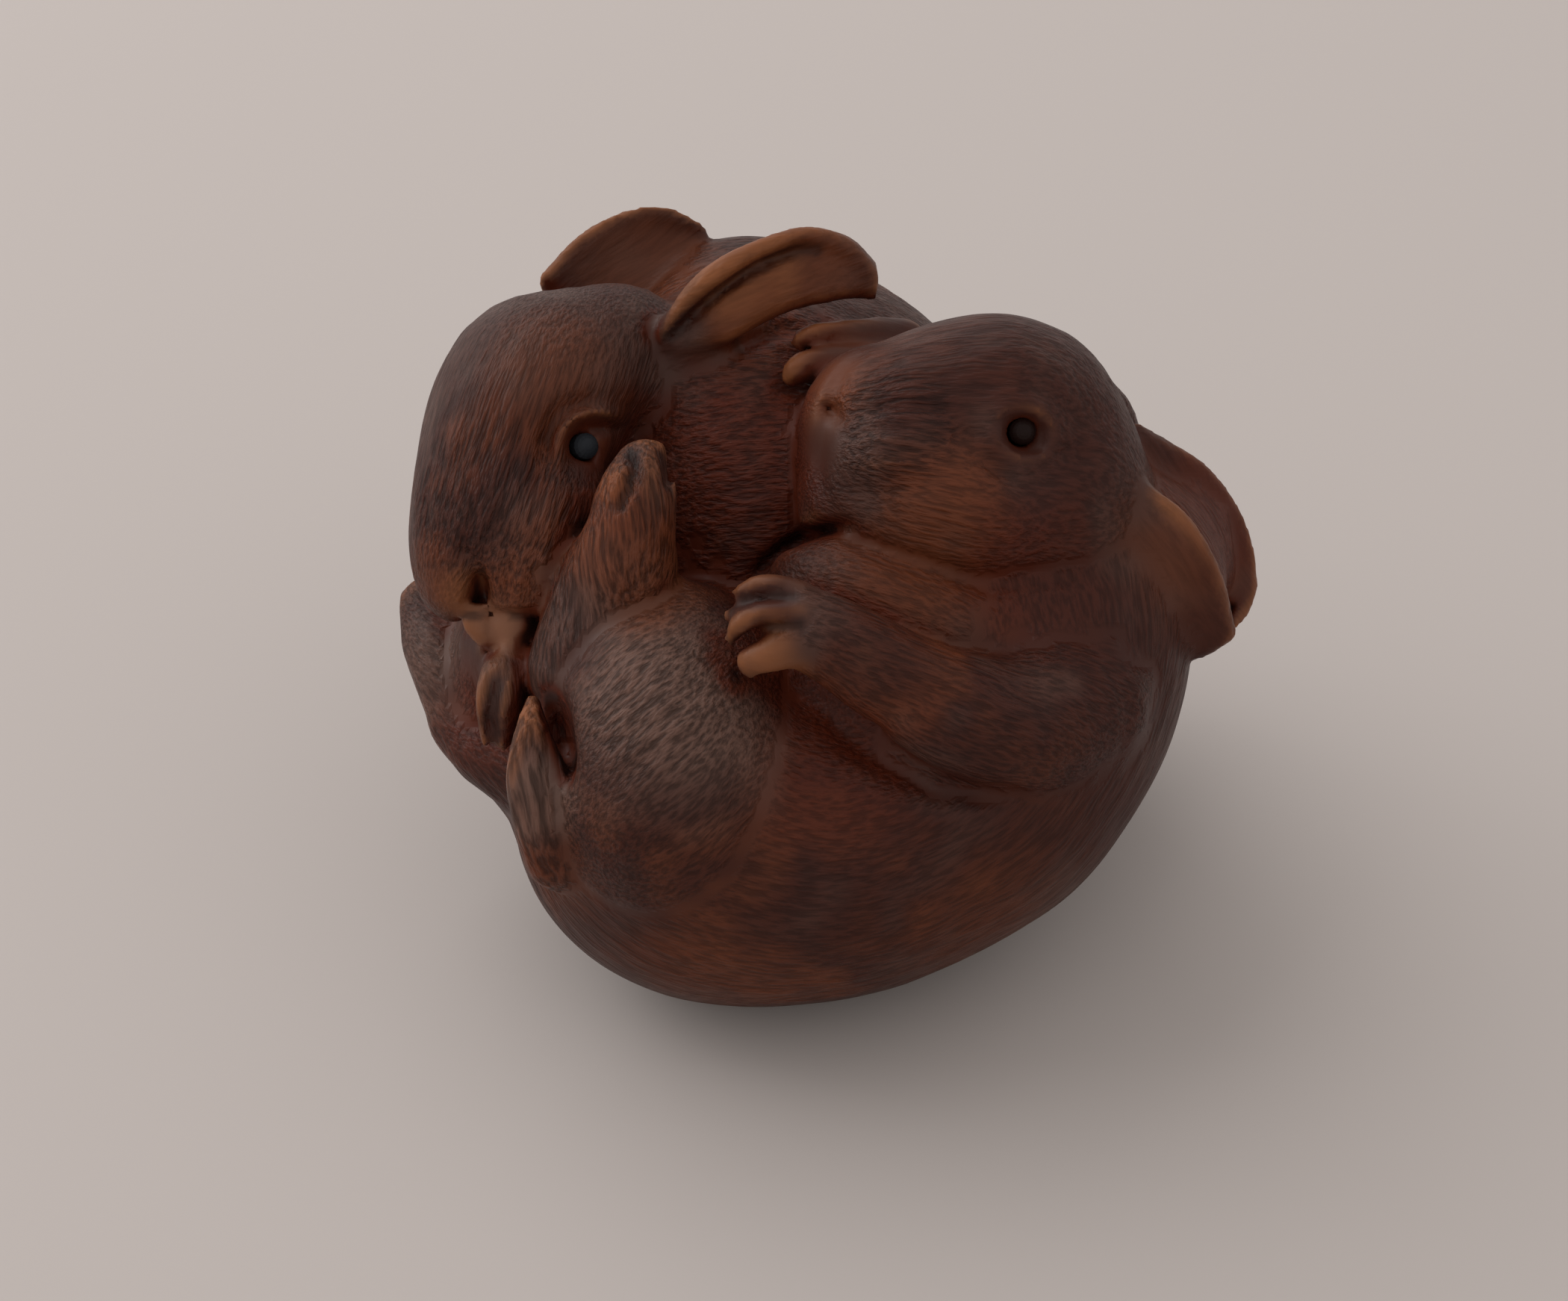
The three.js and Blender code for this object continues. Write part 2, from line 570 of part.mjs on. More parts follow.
// The place with the least sum of squared distances, or null where planes don't settle it.
function bestPlace(q) {
  const matrix = new THREE.Matrix3(q[0], q[1], q[2], q[1], q[4], q[5], q[2], q[5], q[7]);
  const flatness = 1e-3;
  const spread = (q[0] + q[4] + q[7]) / 3;
  if (Math.abs(matrix.determinant()) < flatness * spread ** 3) return null;
  return new THREE.Vector3(-q[3], -q[6], -q[8]).applyMatrix3(matrix.invert());
}

// The same surface with fewer faces: the edge that can be shortened to a point at the least cost goes
// first, as long as the surface stays closed and no face turns over.
const SHORT_EDGE_WEIGHT = 1e-3;
const LEAST_FACING = 0.25; // cosine between a face before and after

function withFewerFaces({ points, faces }, wanted) {
  const quadrics = points.map(() => new Array(10).fill(0));
  const facesAt = points.map(() => new Set());
  const stamps = new Int32Array(points.length);
  const queue = new CheapestFirst();
  let left = faces.length;

  const u = new THREE.Vector3();
  const w = new THREE.Vector3();
  const areaOf = (a, b, c, into) => into.subVectors(b, a).cross(w.subVectors(c, a));

  faces.forEach((face, index) => {
    const [a, b, c] = face.map((i) => points[i]);
    const normal = areaOf(a, b, c, new THREE.Vector3());
    const area = normal.length();
    normal.normalize();
    const plane = squaredPlane(normal, -normal.dot(a));
    face.forEach((i) => {
      facesAt[i].add(index);
      plane.forEach((value, n) => (quadrics[i][n] += value * area));
    });
  });

  const neighboursOf = (i) => {
    const found = new Set();
    facesAt[i].forEach((index) => faces[index].forEach((other) => found.add(other)));
    found.delete(i);
    return found;
  };

  function queueEdge(a, b) {
    const sum = quadrics[a].map((value, n) => value + quadrics[b][n]);
    const middle = points[a].clone().add(points[b]).multiplyScalar(0.5);
    const length = points[a].distanceTo(points[b]);
    const best = bestPlace(sum);
    const place = best && best.distanceTo(middle) < length ? best : middle;
    const cost = squaredDistance(sum, place) + SHORT_EDGE_WEIGHT * length ** 4;
    queue.push({ cost, a, b, place, stamp: stamps[a] + stamps[b] });
  }

  const turnsOver = (moved, kept, place) =>
    [...facesAt[moved]].some((index) => {
      const face = faces[index];
      if (face.includes(kept)) return false;
      const before = areaOf(...face.map((i) => points[i]), new THREE.Vector3());
      const after = areaOf(...face.map((i) => (i === moved ? place : points[i])), u);
      return after.dot(before) < LEAST_FACING * after.length() * before.length();
    });

  points.forEach((_, a) => neighboursOf(a).forEach((b) => a < b && queueEdge(a, b)));
  while (left > wanted && queue.entries.length) {
    const { a, b, place, stamp } = queue.pop();
    if (stamps[a] + stamps[b] !== stamp || !facesAt[a].size || !facesAt[b].size) continue;
    const around = neighboursOf(a);
    const shared = [...neighboursOf(b)].filter((i) => around.has(i));
    if (shared.length !== 2 || turnsOver(a, b, place) || turnsOver(b, a, place)) continue;
    points[a].copy(place);
    quadrics[a] = quadrics[a].map((value, n) => value + quadrics[b][n]);
    facesAt[b].forEach((index) => {
      if (faces[index].includes(a)) {
        faces[index].forEach((i) => i !== b && facesAt[i].delete(index));
        faces[index] = null;
        left -= 1;
      } else {
        faces[index] = faces[index].map((i) => (i === b ? a : i));
        facesAt[a].add(index);
      }
    });
    facesAt[b].clear();
    stamps[a] += 1;
    neighboursOf(a).forEach((i) => queueEdge(a, i));
  }
  return { points, faces: faces.filter(Boolean) };
}

// Solids for cutting, and back to geometry
const wasm = await Module();
wasm.setup();

function solidFrom(positions, index) {
  return new wasm.Manifold(new wasm.Mesh({ numProp: 3, vertProperties: positions, triVerts: index }));
}

function solidOf(geometry) {
  geometry.deleteAttribute("normal");
  geometry.deleteAttribute("uv");
  const merged = mergeVertices(geometry, 1e-4);
  return solidFrom(merged.attributes.position.array, new Uint32Array(merged.index.array));
}

function carvedSolid({ points, faces }) {
  const used = [...new Set(faces.flat())];
  const order = new Map(used.map((point, i) => [point, i]));
  const positions = Float32Array.from(used.flatMap((point) => points[point].toArray()));
  return solidFrom(positions, Uint32Array.from(faces.flat().map((point) => order.get(point))));
}

function geometryOf(solid) {
  const { vertProperties, triVerts } = solid.getMesh();
  const geometry = new THREE.BufferGeometry();
  geometry.setAttribute("position", new THREE.BufferAttribute(vertProperties, 3));
  geometry.setIndex(new THREE.BufferAttribute(triVerts, 1));
  geometry.computeVertexNormals();
  return geometry;
}

// The flat that the netsuke stands on, as the block of wood that is rubbed away below it.
function blockUnderRestFlat(geometry, lean) {
  geometry.applyMatrix4(lean).computeBoundingBox();
  const top = geometry.boundingBox.min.z + REST_FLAT_DEPTH;
  const side = 2 * CARVING_WIDTH;
  return new THREE.BoxGeometry(side, side, side).translate(0, 0, top - side / 2).applyMatrix4(lean.clone().invert());
}

// Where a ray that goes straight at the wood first meets it.
function surfacePlace(mesh, towards, facing) {
  const outward = facing.clone().normalize();
  const start = towards.clone().addScaledVector(outward, CARVING_WIDTH);
  return new THREE.Raycaster(start, outward.negate()).intersectObject(mesh)[0].point;
}

// The curved tunnel for a cord: in at one hole in the rear rabbit's back and out at the other.
const CORD_HOLES_MIDDLE = [-4, 4.5, -10];

function cordTunnel(mesh) {
  const middle = surfacePlace(mesh, vector(CORD_HOLES_MIDDLE).multiplyScalar(SCALE), new THREE.Vector3(0, 0, -1));
  const outside = CORD_HOLE_DIAMETER / 2;
  const places = [];
  for (let i = 0; i <= TUNNEL_STEPS; i++) {
    const angle = (Math.PI * i) / TUNNEL_STEPS;
    const across = (Math.cos(angle) * CORD_HOLE_SPACING) / 2;
    const inward = Math.sin(angle) * (CORD_TUNNEL_DEPTH + outside) - outside;
    places.push(middle.clone().add(new THREE.Vector3(across, 0, inward)));
  }
  const section = new THREE.Shape().absarc(0, 0, CORD_HOLE_DIAMETER / 2, 0, 2 * Math.PI);
  return new THREE.ExtrudeGeometry(section, {
    steps: TUNNEL_STEPS,
    curveSegments: TUNNEL_SIDES,
    extrudePath: new THREE.CatmullRomCurve3(places),
  });
}

// An eye is a pin with a domed front. It is turned round its own axis, which is the Y axis here, with
// the front edge of its straight part at zero.
function eyePin() {
  const radius = EYE_DIAMETER / 2;
  const curve = (radius * radius + EYE_DOME * EYE_DOME) / (2 * EYE_DOME);
  const widest = Math.asin(radius / curve);
  const rings = 4;
  const profile = [new THREE.Vector2(0, -EYE_LENGTH), new THREE.Vector2(radius, -EYE_LENGTH)];
  for (let i = rings; i >= 0; i--) {
    const angle = (widest * i) / rings;
    profile.push(new THREE.Vector2(curve * Math.sin(angle), EYE_DOME - curve + curve * Math.cos(angle)));
  }
  return new THREE.LatheGeometry(profile, EYE_SIDES);
}

// The hole that the pin goes in, open well past the front of the eye.
function eyeSocket() {
  const open = 3 * EYE_DIAMETER;
  const depth = EYE_LENGTH + EYE_CLEARANCE;
  const radius = EYE_DIAMETER / 2 + EYE_CLEARANCE;
  return new THREE.CylinderGeometry(radius, radius, open + depth, EYE_SIDES).translate(0, (open - depth) / 2, 0);
}

const EYE_SEATS = {
  rear_rabbit_left_eye: { towards: [-11.3, 6.9, 9], facing: [0.45, 0, 0.89] },
  rear_rabbit_right_eye: { towards: [-17.6, 8.2, 1], facing: [-0.63, 0.3, -0.71] },
  front_rabbit_left_eye: { towards: [8.2, 7.2, 12.8], facing: [0.1, -0.15, 0.98] },
};

// Place and turn of an eye: its front edge is sunk below the wood in the middle of the eye.
function seatOf(mesh, { towards, facing }) {
  const outward = vector(facing).normalize();
  const surface = surfacePlace(mesh, vector(towards).multiplyScalar(SCALE), outward);
  const place = surface.addScaledVector(outward, -EYE_SUNK);
  const turn = new THREE.Quaternion().setFromUnitVectors(new THREE.Vector3(0, 1, 0), outward);
  return { place, turn };
}

function woodMaterial() {
  return new THREE.MeshStandardMaterial({ color: 0x5b3424, roughness: 0.42, metalness: 0, flatShading: true });
}

function hornMaterial() {
  return new THREE.MeshStandardMaterial({ color: 0x1d2225, roughness: 0.15, metalness: 0 });
}

// The netsuke: the drawn form carved, rubbed flat below, pierced for a cord and fitted with its eyes.
function netsuke() {
  let fine = largestPart(surfaceOf(fieldOf(CARVING_STEPS)));
  for (let pass = 0; pass < SMOOTHING_PASSES; pass++) {
    fine = eased(fine);
  }
  const drawn = withFewerFaces(fine, CARVING_FACES);
  drawn.points.forEach((point) => point.multiplyScalar(SCALE));
  const solid = carvedSolid(drawn);
  const whole = new THREE.Mesh(geometryOf(solid));
  const lean = new THREE.Matrix4().makeRotationX(THREE.MathUtils.degToRad(LEAN));
  const seats = Object.entries(EYE_SEATS).map(([name, seat]) => ({ name, ...seatOf(whole, seat) }));

  const cuts = [blockUnderRestFlat(whole.geometry.clone(), lean), cordTunnel(whole)];
  seats.forEach(({ place, turn }) => {
    cuts.push(eyeSocket().applyQuaternion(turn).translate(...place.toArray()));
  });
  const carved = cuts.reduce((left, cut) => left.subtract(solidOf(cut)), solid);
  const carving = new THREE.Mesh(geometryOf(carved), woodMaterial());
  carving.name = "carving";

  const group = new THREE.Group();
  group.name = "netsuke";
  group.setRotationFromMatrix(lean);
  group.add(carving);
  seats.forEach(({ name, place, turn }) => {
    const eye = new THREE.Mesh(eyePin(), hornMaterial());
    eye.name = name;
    eye.position.copy(place);
    eye.quaternion.copy(turn);
    group.add(eye);
  });

  const box = new THREE.Box3().setFromObject(group, true);
  const middle = box.getCenter(new THREE.Vector3());
  group.position.set(-middle.x, -middle.y, -box.min.z);
  return group;
}

export default netsuke();
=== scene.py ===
"""A netsuke of two rabbits huddled together, carved from one piece of dark stained wood with inlaid
eyes of dark horn, lying on a pale table top. The frame gives the place of the wood and the eyes."""
import math

import bpy
import numpy as np
from mathutils import Matrix, Vector


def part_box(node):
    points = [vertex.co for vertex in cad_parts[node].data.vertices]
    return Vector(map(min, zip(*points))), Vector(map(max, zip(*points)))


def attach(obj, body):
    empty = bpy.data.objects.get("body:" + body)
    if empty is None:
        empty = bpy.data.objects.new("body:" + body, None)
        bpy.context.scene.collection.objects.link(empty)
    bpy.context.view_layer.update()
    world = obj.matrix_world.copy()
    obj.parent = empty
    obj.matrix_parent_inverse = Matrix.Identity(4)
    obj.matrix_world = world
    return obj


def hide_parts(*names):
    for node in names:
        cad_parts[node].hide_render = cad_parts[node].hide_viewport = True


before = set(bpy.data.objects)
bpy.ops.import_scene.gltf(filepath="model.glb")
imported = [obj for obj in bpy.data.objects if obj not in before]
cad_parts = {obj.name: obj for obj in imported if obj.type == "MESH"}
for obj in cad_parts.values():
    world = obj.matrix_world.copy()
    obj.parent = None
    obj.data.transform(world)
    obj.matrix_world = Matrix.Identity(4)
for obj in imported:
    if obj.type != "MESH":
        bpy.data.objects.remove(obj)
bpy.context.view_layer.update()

# The wood: the form
# One block of close-grained wood is carved in the round into both rabbits, stained dark and rubbed
# smooth by handling. It stands on flats rubbed into its underside.
#
# The carver's drawing has x across, y up and z towards the viewer, in mm. A field holds the distance
# to the surface, below zero inside the wood. Each step changes it inside the box where it is felt: a
# solid is felt EDGE_OF_STEP beyond its radii. A path has PATH_STEPS steps between two of its rows.
TINY = 1e-9
FAR = 50.0
EDGE_OF_STEP = 2.5
PATH_STEPS = 5


def length_of(vectors):
    """The length of each row: the root of the sum of its squares."""
    return np.sqrt(np.einsum("...i,...i->...", vectors, vectors))


def unit(vector):
    """The vector over its length."""
    vector = np.asarray(vector, float)
    return vector / length_of(vector)


def axes_of(along, side):
    """Three unit rows: the direction along, the side direction less its share of it, and their cross
    product."""
    first = unit(along)
    second = np.asarray(side, float)
    second = unit(second - (second @ first) * first)
    return np.array([first, second, np.cross(first, second)])


def step(places, reach, change):
    """A step of the carving: the box round its places, grown by its reach, and the change it makes."""
    places = np.asarray(places, float)
    return places.min(0) - reach, places.max(0) + reach, change


def joined(a, b, width):
    """The smaller of two distances, less a quarter of width times the square of their nearness in it."""
    near = np.maximum(width - np.abs(a - b), 0) / width
    return np.minimum(a, b) - near * near * width / 4


def solid_step(places, reach, blend, cut, distance):
    """Wood added by the smaller of the field and a distance, or cut away by the greater of the field and
    minus the distance."""
    def change(field, at):
        if cut:
            return -joined(-field, distance(at), blend)
        return joined(field, distance(at), blend)
    return step(places, reach + EDGE_OF_STEP, change)


def egg(centre, radii, blend=1, along=(1, 0, 0), side=(0, 1, 0), cut=False):
    """A rounded lump: with s the length of the place over the radii, its distance is s (s - 1) over the
    length of the place over the squared radii."""
    turn = axes_of(along, side)
    size = np.asarray(radii, float)

    def distance(at):
        inside = (at - centre) @ turn.T / size
        share = length_of(inside)
        return share * (share - 1) / (length_of(inside / size) + TINY)
    return solid_step([centre], max(radii), blend, cut, distance)


def smooth(rows):
    """Rows on a Catmull-Rom curve through the given rows, PATH_STEPS of them to each span."""
    rows = np.asarray(rows, float)
    ends = np.vstack([2 * rows[0] - rows[1], rows, 2 * rows[-1] - rows[-2]])
    share = np.linspace(0, 1, PATH_STEPS, endpoint=False)[:, None]
    spans = []
    for a, b, c, d in zip(ends, ends[1:], ends[2:], ends[3:]):
        square = (2 * a - 5 * b + 4 * c - d) * share**2
        cube = (3 * b - a - 3 * c + d) * share**3
        spans.append((2 * b + (c - a) * share + square + cube) / 2)
    return np.vstack(spans + [rows[-1:]])


def limb(path, radii, blend=0.8, cut=False):
    """A round limb: the least distance to the path's spans, less the radius there."""
    rows = smooth(np.column_stack([path, radii]))

    def distance(at):
        least = np.full(len(at), np.inf)
        for start, end in zip(rows, rows[1:]):
            run = end[:3] - start[:3]
            gap = at - start[:3]
            share = np.clip(gap @ run / (run @ run), 0, 1)
            radius = start[3] + (end[3] - start[3]) * share
            least = np.minimum(least, length_of(gap - share[:, None] * run) - radius)
        return least
    return solid_step(path, max(radii), blend, cut, distance)


MOST_LIFT = 1.5


def sheet(path, widths, side, thick=0.55, cup=0, blend=0.6):
    """An ear: a sheet along a path, its edges lifted by cup times the square of the share of its width,
    and by MOST_LIFT times cup at most."""
    rows = smooth(np.column_stack([path, widths]))

    def distance(at):
        least = np.full(len(at), np.inf)
        for start, end in zip(rows, rows[1:]):
            run = end[:3] - start[:3]
            length = length_of(run)
            gap = (at - start[:3]) @ axes_of(run, side).T
            share = np.clip(gap[:, 0] / length, 0, 1)
            half = start[3] + (end[3] - start[3]) * share
            lift = np.minimum(cup * (gap[:, 1] / half) ** 2, MOST_LIFT * cup)
            outside = np.maximum(np.abs(gap[:, 1]) - half + thick, 0)
            parts = np.column_stack([gap[:, 0] - share * length, outside, gap[:, 2] - lift])
            least = np.minimum(least, length_of(parts) - thick)
        return least
    return solid_step(path, max(widths) + cup, blend, False, distance)


# Lines, hollows and rings are drawn from the front: they are felt out to a few times their width, and
# fade away in front of and behind the drawn height.
FADE_HEIGHT = 1.2
LINE_WIDTHS_FELT = 3
OVAL_RADII_FELT = 2.6
HOLLOW_REACH = 3
RING_REACH = 2.5


def faded(height, reach):
    """One within reach of the drawn height, falling to zero over FADE_HEIGHT beyond it."""
    return np.clip((reach + FADE_HEIGHT - np.abs(height)) / FADE_HEIGHT, 0, 1)


def line(path, width, depth, taper=0.6, reach=2.5):
    """A line cut as seen from the front, or a ridge where its depth is below zero: depth times exp of minus
    the squared gap over its spread, weaker towards both ends by taper times the cube of the share."""
    rows = smooth(path)

    def change(field, at):
        nearest = np.full(len(at), np.inf)
        along = np.zeros(len(at))
        height = np.zeros(len(at))
        for index, (start, end) in enumerate(zip(rows, rows[1:])):
            run = end - start
            flat = at[:, :2] - start[:2]
            share = np.clip(flat @ run[:2] / (run[:2] @ run[:2] + TINY), 0, 1)
            gap = length_of(flat - share[:, None] * run[:2])
            closer = gap < nearest
            nearest = np.where(closer, gap, nearest)
            along = np.where(closer, (index + share) / (len(rows) - 1), along)
            height = np.where(closer, at[:, 2] - start[2] - share * run[2], height)
        strength = 1 - taper * np.abs(2 * along - 1) ** 3
        spread = width * (1 + strength) / 2
        return field + depth * strength * faded(height, reach) * np.exp(-((nearest / spread) ** 2))
    return step(path, max(LINE_WIDTHS_FELT * width, reach + FADE_HEIGHT), change)


def oval(centre, radii, turn, reach, profile):
    """An ellipse as seen from the front, turned in degrees: profile gives its depth from its share."""
    cos = math.cos(math.radians(turn))
    sin = math.sin(math.radians(turn))

    def change(field, at):
        x, y, z = (at - centre).T
        share = np.hypot((x * cos + y * sin) / radii[0], (y * cos - x * sin) / radii[1])
        return field + profile(share) * faded(z, reach)
    return step([centre], max(OVAL_RADII_FELT * max(radii), reach + FADE_HEIGHT), change)


def hollow(centre, radii, turn, depth):
    """A soft hollow: depth times exp of minus the squared share."""
    return oval(centre, radii, turn, HOLLOW_REACH, lambda share: depth * np.exp(-share * share))


def ring(centre, radii, turn, width, height):
    """A raised ring: height times exp of minus the squared gap from its middle line over width."""
    mean = sum(radii) / 2

    def profile(share):
        return -height * np.exp(-(((share - 1) * mean / width) ** 2))
    return oval(centre, radii, turn, RING_REACH, profile)


def on_both_sides(middle, across, steps):
    """The steps, and the same steps mirrored in the plane through a head's middle, square to across."""
    normal = unit(across)

    def mirrored(at):
        """The places, less twice their distance from the plane along its normal."""
        return at - 2 * np.outer((at - middle) @ normal, normal)

    def other_side(low, high, change):
        """The step in the mirrored box, with its change worked out at the mirrored places."""
        corners = np.array(np.meshgrid(*zip(low, high))).reshape(3, -1).T
        return step(mirrored(corners), 0, lambda field, at: change(field, mirrored(at)))
    return steps + [other_side(*one) for one in steps]


# The rear rabbit lies behind with its head hanging down on the left, and the front rabbit is curled
# before it, with its head up on the right and its hind foot raised in the middle. An egg is given by its
# middle and radii, a limb by its path and radii, and a sheet by its path, half widths and side direction.
REAR_HEAD_MIDDLE = (-14.2, 9.4, 5)
REAR_HEAD_ACROSS = (0.62, -0.12, 0.775)
rear_body = {
    "back": egg((-3.4, 4.6, -5.5), (12.8, 13.1, 11), blend=2),
    "rump": egg((6.3, -1.5, -7), (10.8, 11.5, 10), blend=4),
    "belly": egg((-5.5, -4.5, -9.2), (7.5, 6.8, 6.8), blend=3),
    "neck": egg((-4.6, 8.3, 0.5), (6.3, 6.3, 6.4), blend=3),
    "chest": egg((-3.6, 4.2, 1.4), (4.6, 5.2, 5), blend=2.5),
    "nape": egg((-4.1, 14.7, -4.5), (5, 3.7, 4.5), blend=2),
    "haunch": egg((8.2, -1.2, -11.8), (7.2, 6.4, 5.8), blend=1.2, along=(0.6, 0.75, 0.2)),
    "foot": limb(
        [(12.8, 1.5, -11), (14.2, 5.5, -8), (13.8, 8.8, -4.6), (12.2, 10.8, -1.8)],
        [3, 2.4, 1.9, 1.4], blend=1,
    ),
    "tail": limb([(12, -9.5, -8.5), (14.6, -6.2, -7.2), (16.2, -2, -5.4)], [1.7, 1.3, 0.4], blend=0.5),
}

front_body = {
    "far hip": egg((-15.6, -5.3, 0), (2.9, 4, 4.4), blend=1.5),
    "chest": egg((8.2, -3.5, 3), (8.5, 8, 9), blend=1),
    "belly": egg((1.5, -9, 2.5), (8.6, 9, 10), blend=3),
    "side": egg((6, -7.9, 2.5), (8, 7.9, 9.5), blend=3),
    "rump": egg((-4.7, -10.1, 3), (10.4, 9.1, 9.8), blend=4),
    "neck": egg((11.3, 0.8, 5), (5.2, 5.6, 5.4), blend=3),
    "throat": egg((2.3, -0.4, 9.2), (5.6, 3.1, 4), blend=2, along=(1, -0.35, 0)),
    "haunch": egg((-7.5, -6.8, 8.5), (6, 7.8, 6.9), blend=1.4),
}

rear_head = {
    "skull": egg((-13.9, 9.3, 5), (5.2, 4.7, 5.2), blend=1.2, along=(-0.35, -0.92, 0.2)),
    "crown": egg((-11.2, 11.2, 4), (4.4, 3.4, 3.9), blend=1.6, along=(-0.75, -0.62, 0.1)),
    "muzzle": egg((-15.7, 5.3, 6), (5.4, 3.8, 4.4), blend=2.2, along=(-0.3, -0.95, 0.1)),
    "nose": egg((-17.2, 1.7, 7), (2.8, 2, 2.5), blend=1.4, along=(-0.12, -0.99, 0.1)),
    "lip": egg((-14.5, 1.5, 7.8), (2.7, 1.8, 2.2), blend=0.7, along=(-0.1, -0.99, 0.1)),
    "cheek": egg((-13, 3.9, 8), (3.6, 2.3, 2.4), blend=1.5, along=(-0.3, -0.9, 0.1)),
    "chin": egg((-14.2, -2.5, 5.4), (2.9, 2.8, 2.9), blend=0.5),
    "teeth": sheet(
        [(-15.45, -0.6, 7.9), (-15.4, -1.5, 7.7), (-15.35, -2.2, 7.3)],
        [1.9, 1.35, 0.7], (1, 0, 0), thick=0.6, blend=0.12,
    ),
    "front shank": egg((-15.9, -3.5, 2.6), (2.5, 4.2, 3.4), blend=1.2),
}

front_head = {
    "skull": egg((7, 8.1, 7.5), (6.1, 5, 5.8), blend=1.2, along=(1, 0.1, -0.1)),
    "muzzle": egg((2.7, 7.3, 9), (4.2, 3.9, 4.4), blend=2.4, along=(1, 0.05, -0.1)),
    "cheek": egg((5.5, 4.2, 10), (5, 3.1, 3.4), blend=2.6, along=(1, -0.12, 0)),
    "occiput": egg((11.1, 5.2, 7.4), (3.4, 3.8, 4.6), blend=2),
    "nose": egg((0.6, 8.9, 9.6), (1.5, 2.2, 2.3), blend=1.4, along=(0.9, -0.4, 0)),
    "chin": egg((0.5, 4.4, 9), (1.9, 2.1, 2.6), blend=1.6),
}

front_legs = {
    "hind foot": limb(
        [(-10.3, -3.1, 8.6), (-9.9, -0.1, 9.6), (-9.3, 2.1, 11.6), (-8.8, 4.6, 12.4), (-8.6, 5.8, 12)],
        [3.7, 2.9, 2.2, 1.75, 1.35], blend=0.5,
    ),
    "far foot": limb(
        [(-16.3, -6.6, 2), (-17.6, -4.8, 2.6), (-18.8, -2.6, 2), (-19.9, -0.5, 1), (-20.2, 0.4, 0.5)],
        [1.9, 1.9, 1.75, 1.1, 0.7],
    ),
    "far leg": limb([(-17.8, -6, 3), (-16.2, -7.1, 4), (-13.8, -8.1, 5)], [1.35, 1.8, 2.2]),
    "tail hollow": egg((-12.4, -6.2, 13), (2.3, 0.9, 3.6), blend=0.6, along=(-0.2, 1, 0), cut=True),
    "tail": limb(
        [
            (-12.5, -11.6, 9), (-12.9, -9.8, 10.4), (-13.3, -8, 11.4),
            (-13.5, -6.2, 11.6), (-13.5, -4.5, 11.4),
        ],
        [1.7, 1.6, 1.35, 0.85, 0.3], blend=0.6,
    ),
    "arm": limb(
        [
            (10.3, -4.4, 8.5), (7.9, -5.6, 11), (5.4, -5.2, 12.8),
            (2.8, -3.8, 14), (0.3, -2.2, 14.8), (-2, -1.1, 15),
        ],
        [4.2, 3.4, 2.8, 2.3, 1.95, 1.75], blend=0.5,
    ),
    "upper toe": limb(
        [(-2, -0.3, 15.2), (-3.2, 0.1, 15.4), (-4.1, -0.3, 15), (-4.5, -0.8, 14.4)],
        [1.1, 0.85, 0.7, 0.5], blend=0.25,
    ),
    "middle toe": limb(
        [(-2, -1, 15.8), (-3.2, -0.8, 16), (-4, -1.3, 15.8), (-4.4, -1.9, 15)],
        [1.1, 0.8, 0.7, 0.5], blend=0.2,
    ),
    "lower toe": limb(
        [(-1.8, -1.9, 15.6), (-2.8, -2.4, 15.6), (-3.6, -2.7, 15.2), (-3.8, -3.1, 14.6)],
        [1.2, 0.9, 0.75, 0.5], blend=0.2,
    ),
    "far upper toe": limb(
        [(3.3, 12.2, 4), (0.8, 12.5, 5.6), (-0.9, 12.4, 6.6), (-1.6, 12, 6.6)],
        [1.2, 0.85, 0.75, 0.45], blend=0.3,
    ),
    "far lower toe": limb(
        [(2.9, 10.9, 5), (0.3, 10.9, 6.8), (-1.4, 10.7, 7.4), (-2, 10.3, 7.2)],
        [1.4, 0.95, 0.75, 0.5], blend=0.3,
    ),
    "rear paw": limb(
        [(-14.9, -2.7, 7.5), (-15.3, -4.5, 8.4), (-15.5, -6.3, 8.2)],
        [1.2, 1.15, 0.8], blend=0.4,
    ),
}

rear_ears = {
    "near": sheet(
        [(-7.5, 12.4, 6.5), (-5, 13.5, 7.5), (-2.3, 14.8, 6.9), (0.1, 15.5, 5.7), (1.4, 15.2, 4.7)],
        [0.9, 1.7, 1.85, 1.7, 1.1], (-0.3, 0.93, 0.25), thick=0.6, blend=0.5,
    ),
    "near rim": limb(
        [
            (-7.8, 12.2, 7), (-6.6, 13.7, 8), (-5.1, 14.9, 8.6), (-2.9, 16.1, 8),
            (-1, 16.8, 7), (0.6, 16.4, 6), (1.7, 15.3, 5.2), (1.8, 14.3, 5),
        ],
        [0.4, 0.62, 0.7, 0.62, 0.5, 0.42, 0.4, 0.3], blend=0.4,
    ),
    "root": egg((-6.2, 12.1, 4.5), (2.8, 1.8, 2.2), blend=1, along=(0.9, 0.4, 0)),
    "far": sheet(
        [(-12.9, 14.4, 0), (-11.1, 16.6, -1.2), (-8.8, 18.2, -2.6), (-6.7, 18.4, -3.6)],
        [2.2, 2.1, 1.6, 0.7], (-0.62, 0.72, 0.3), thick=0.5, cup=0.6,
    ),
}

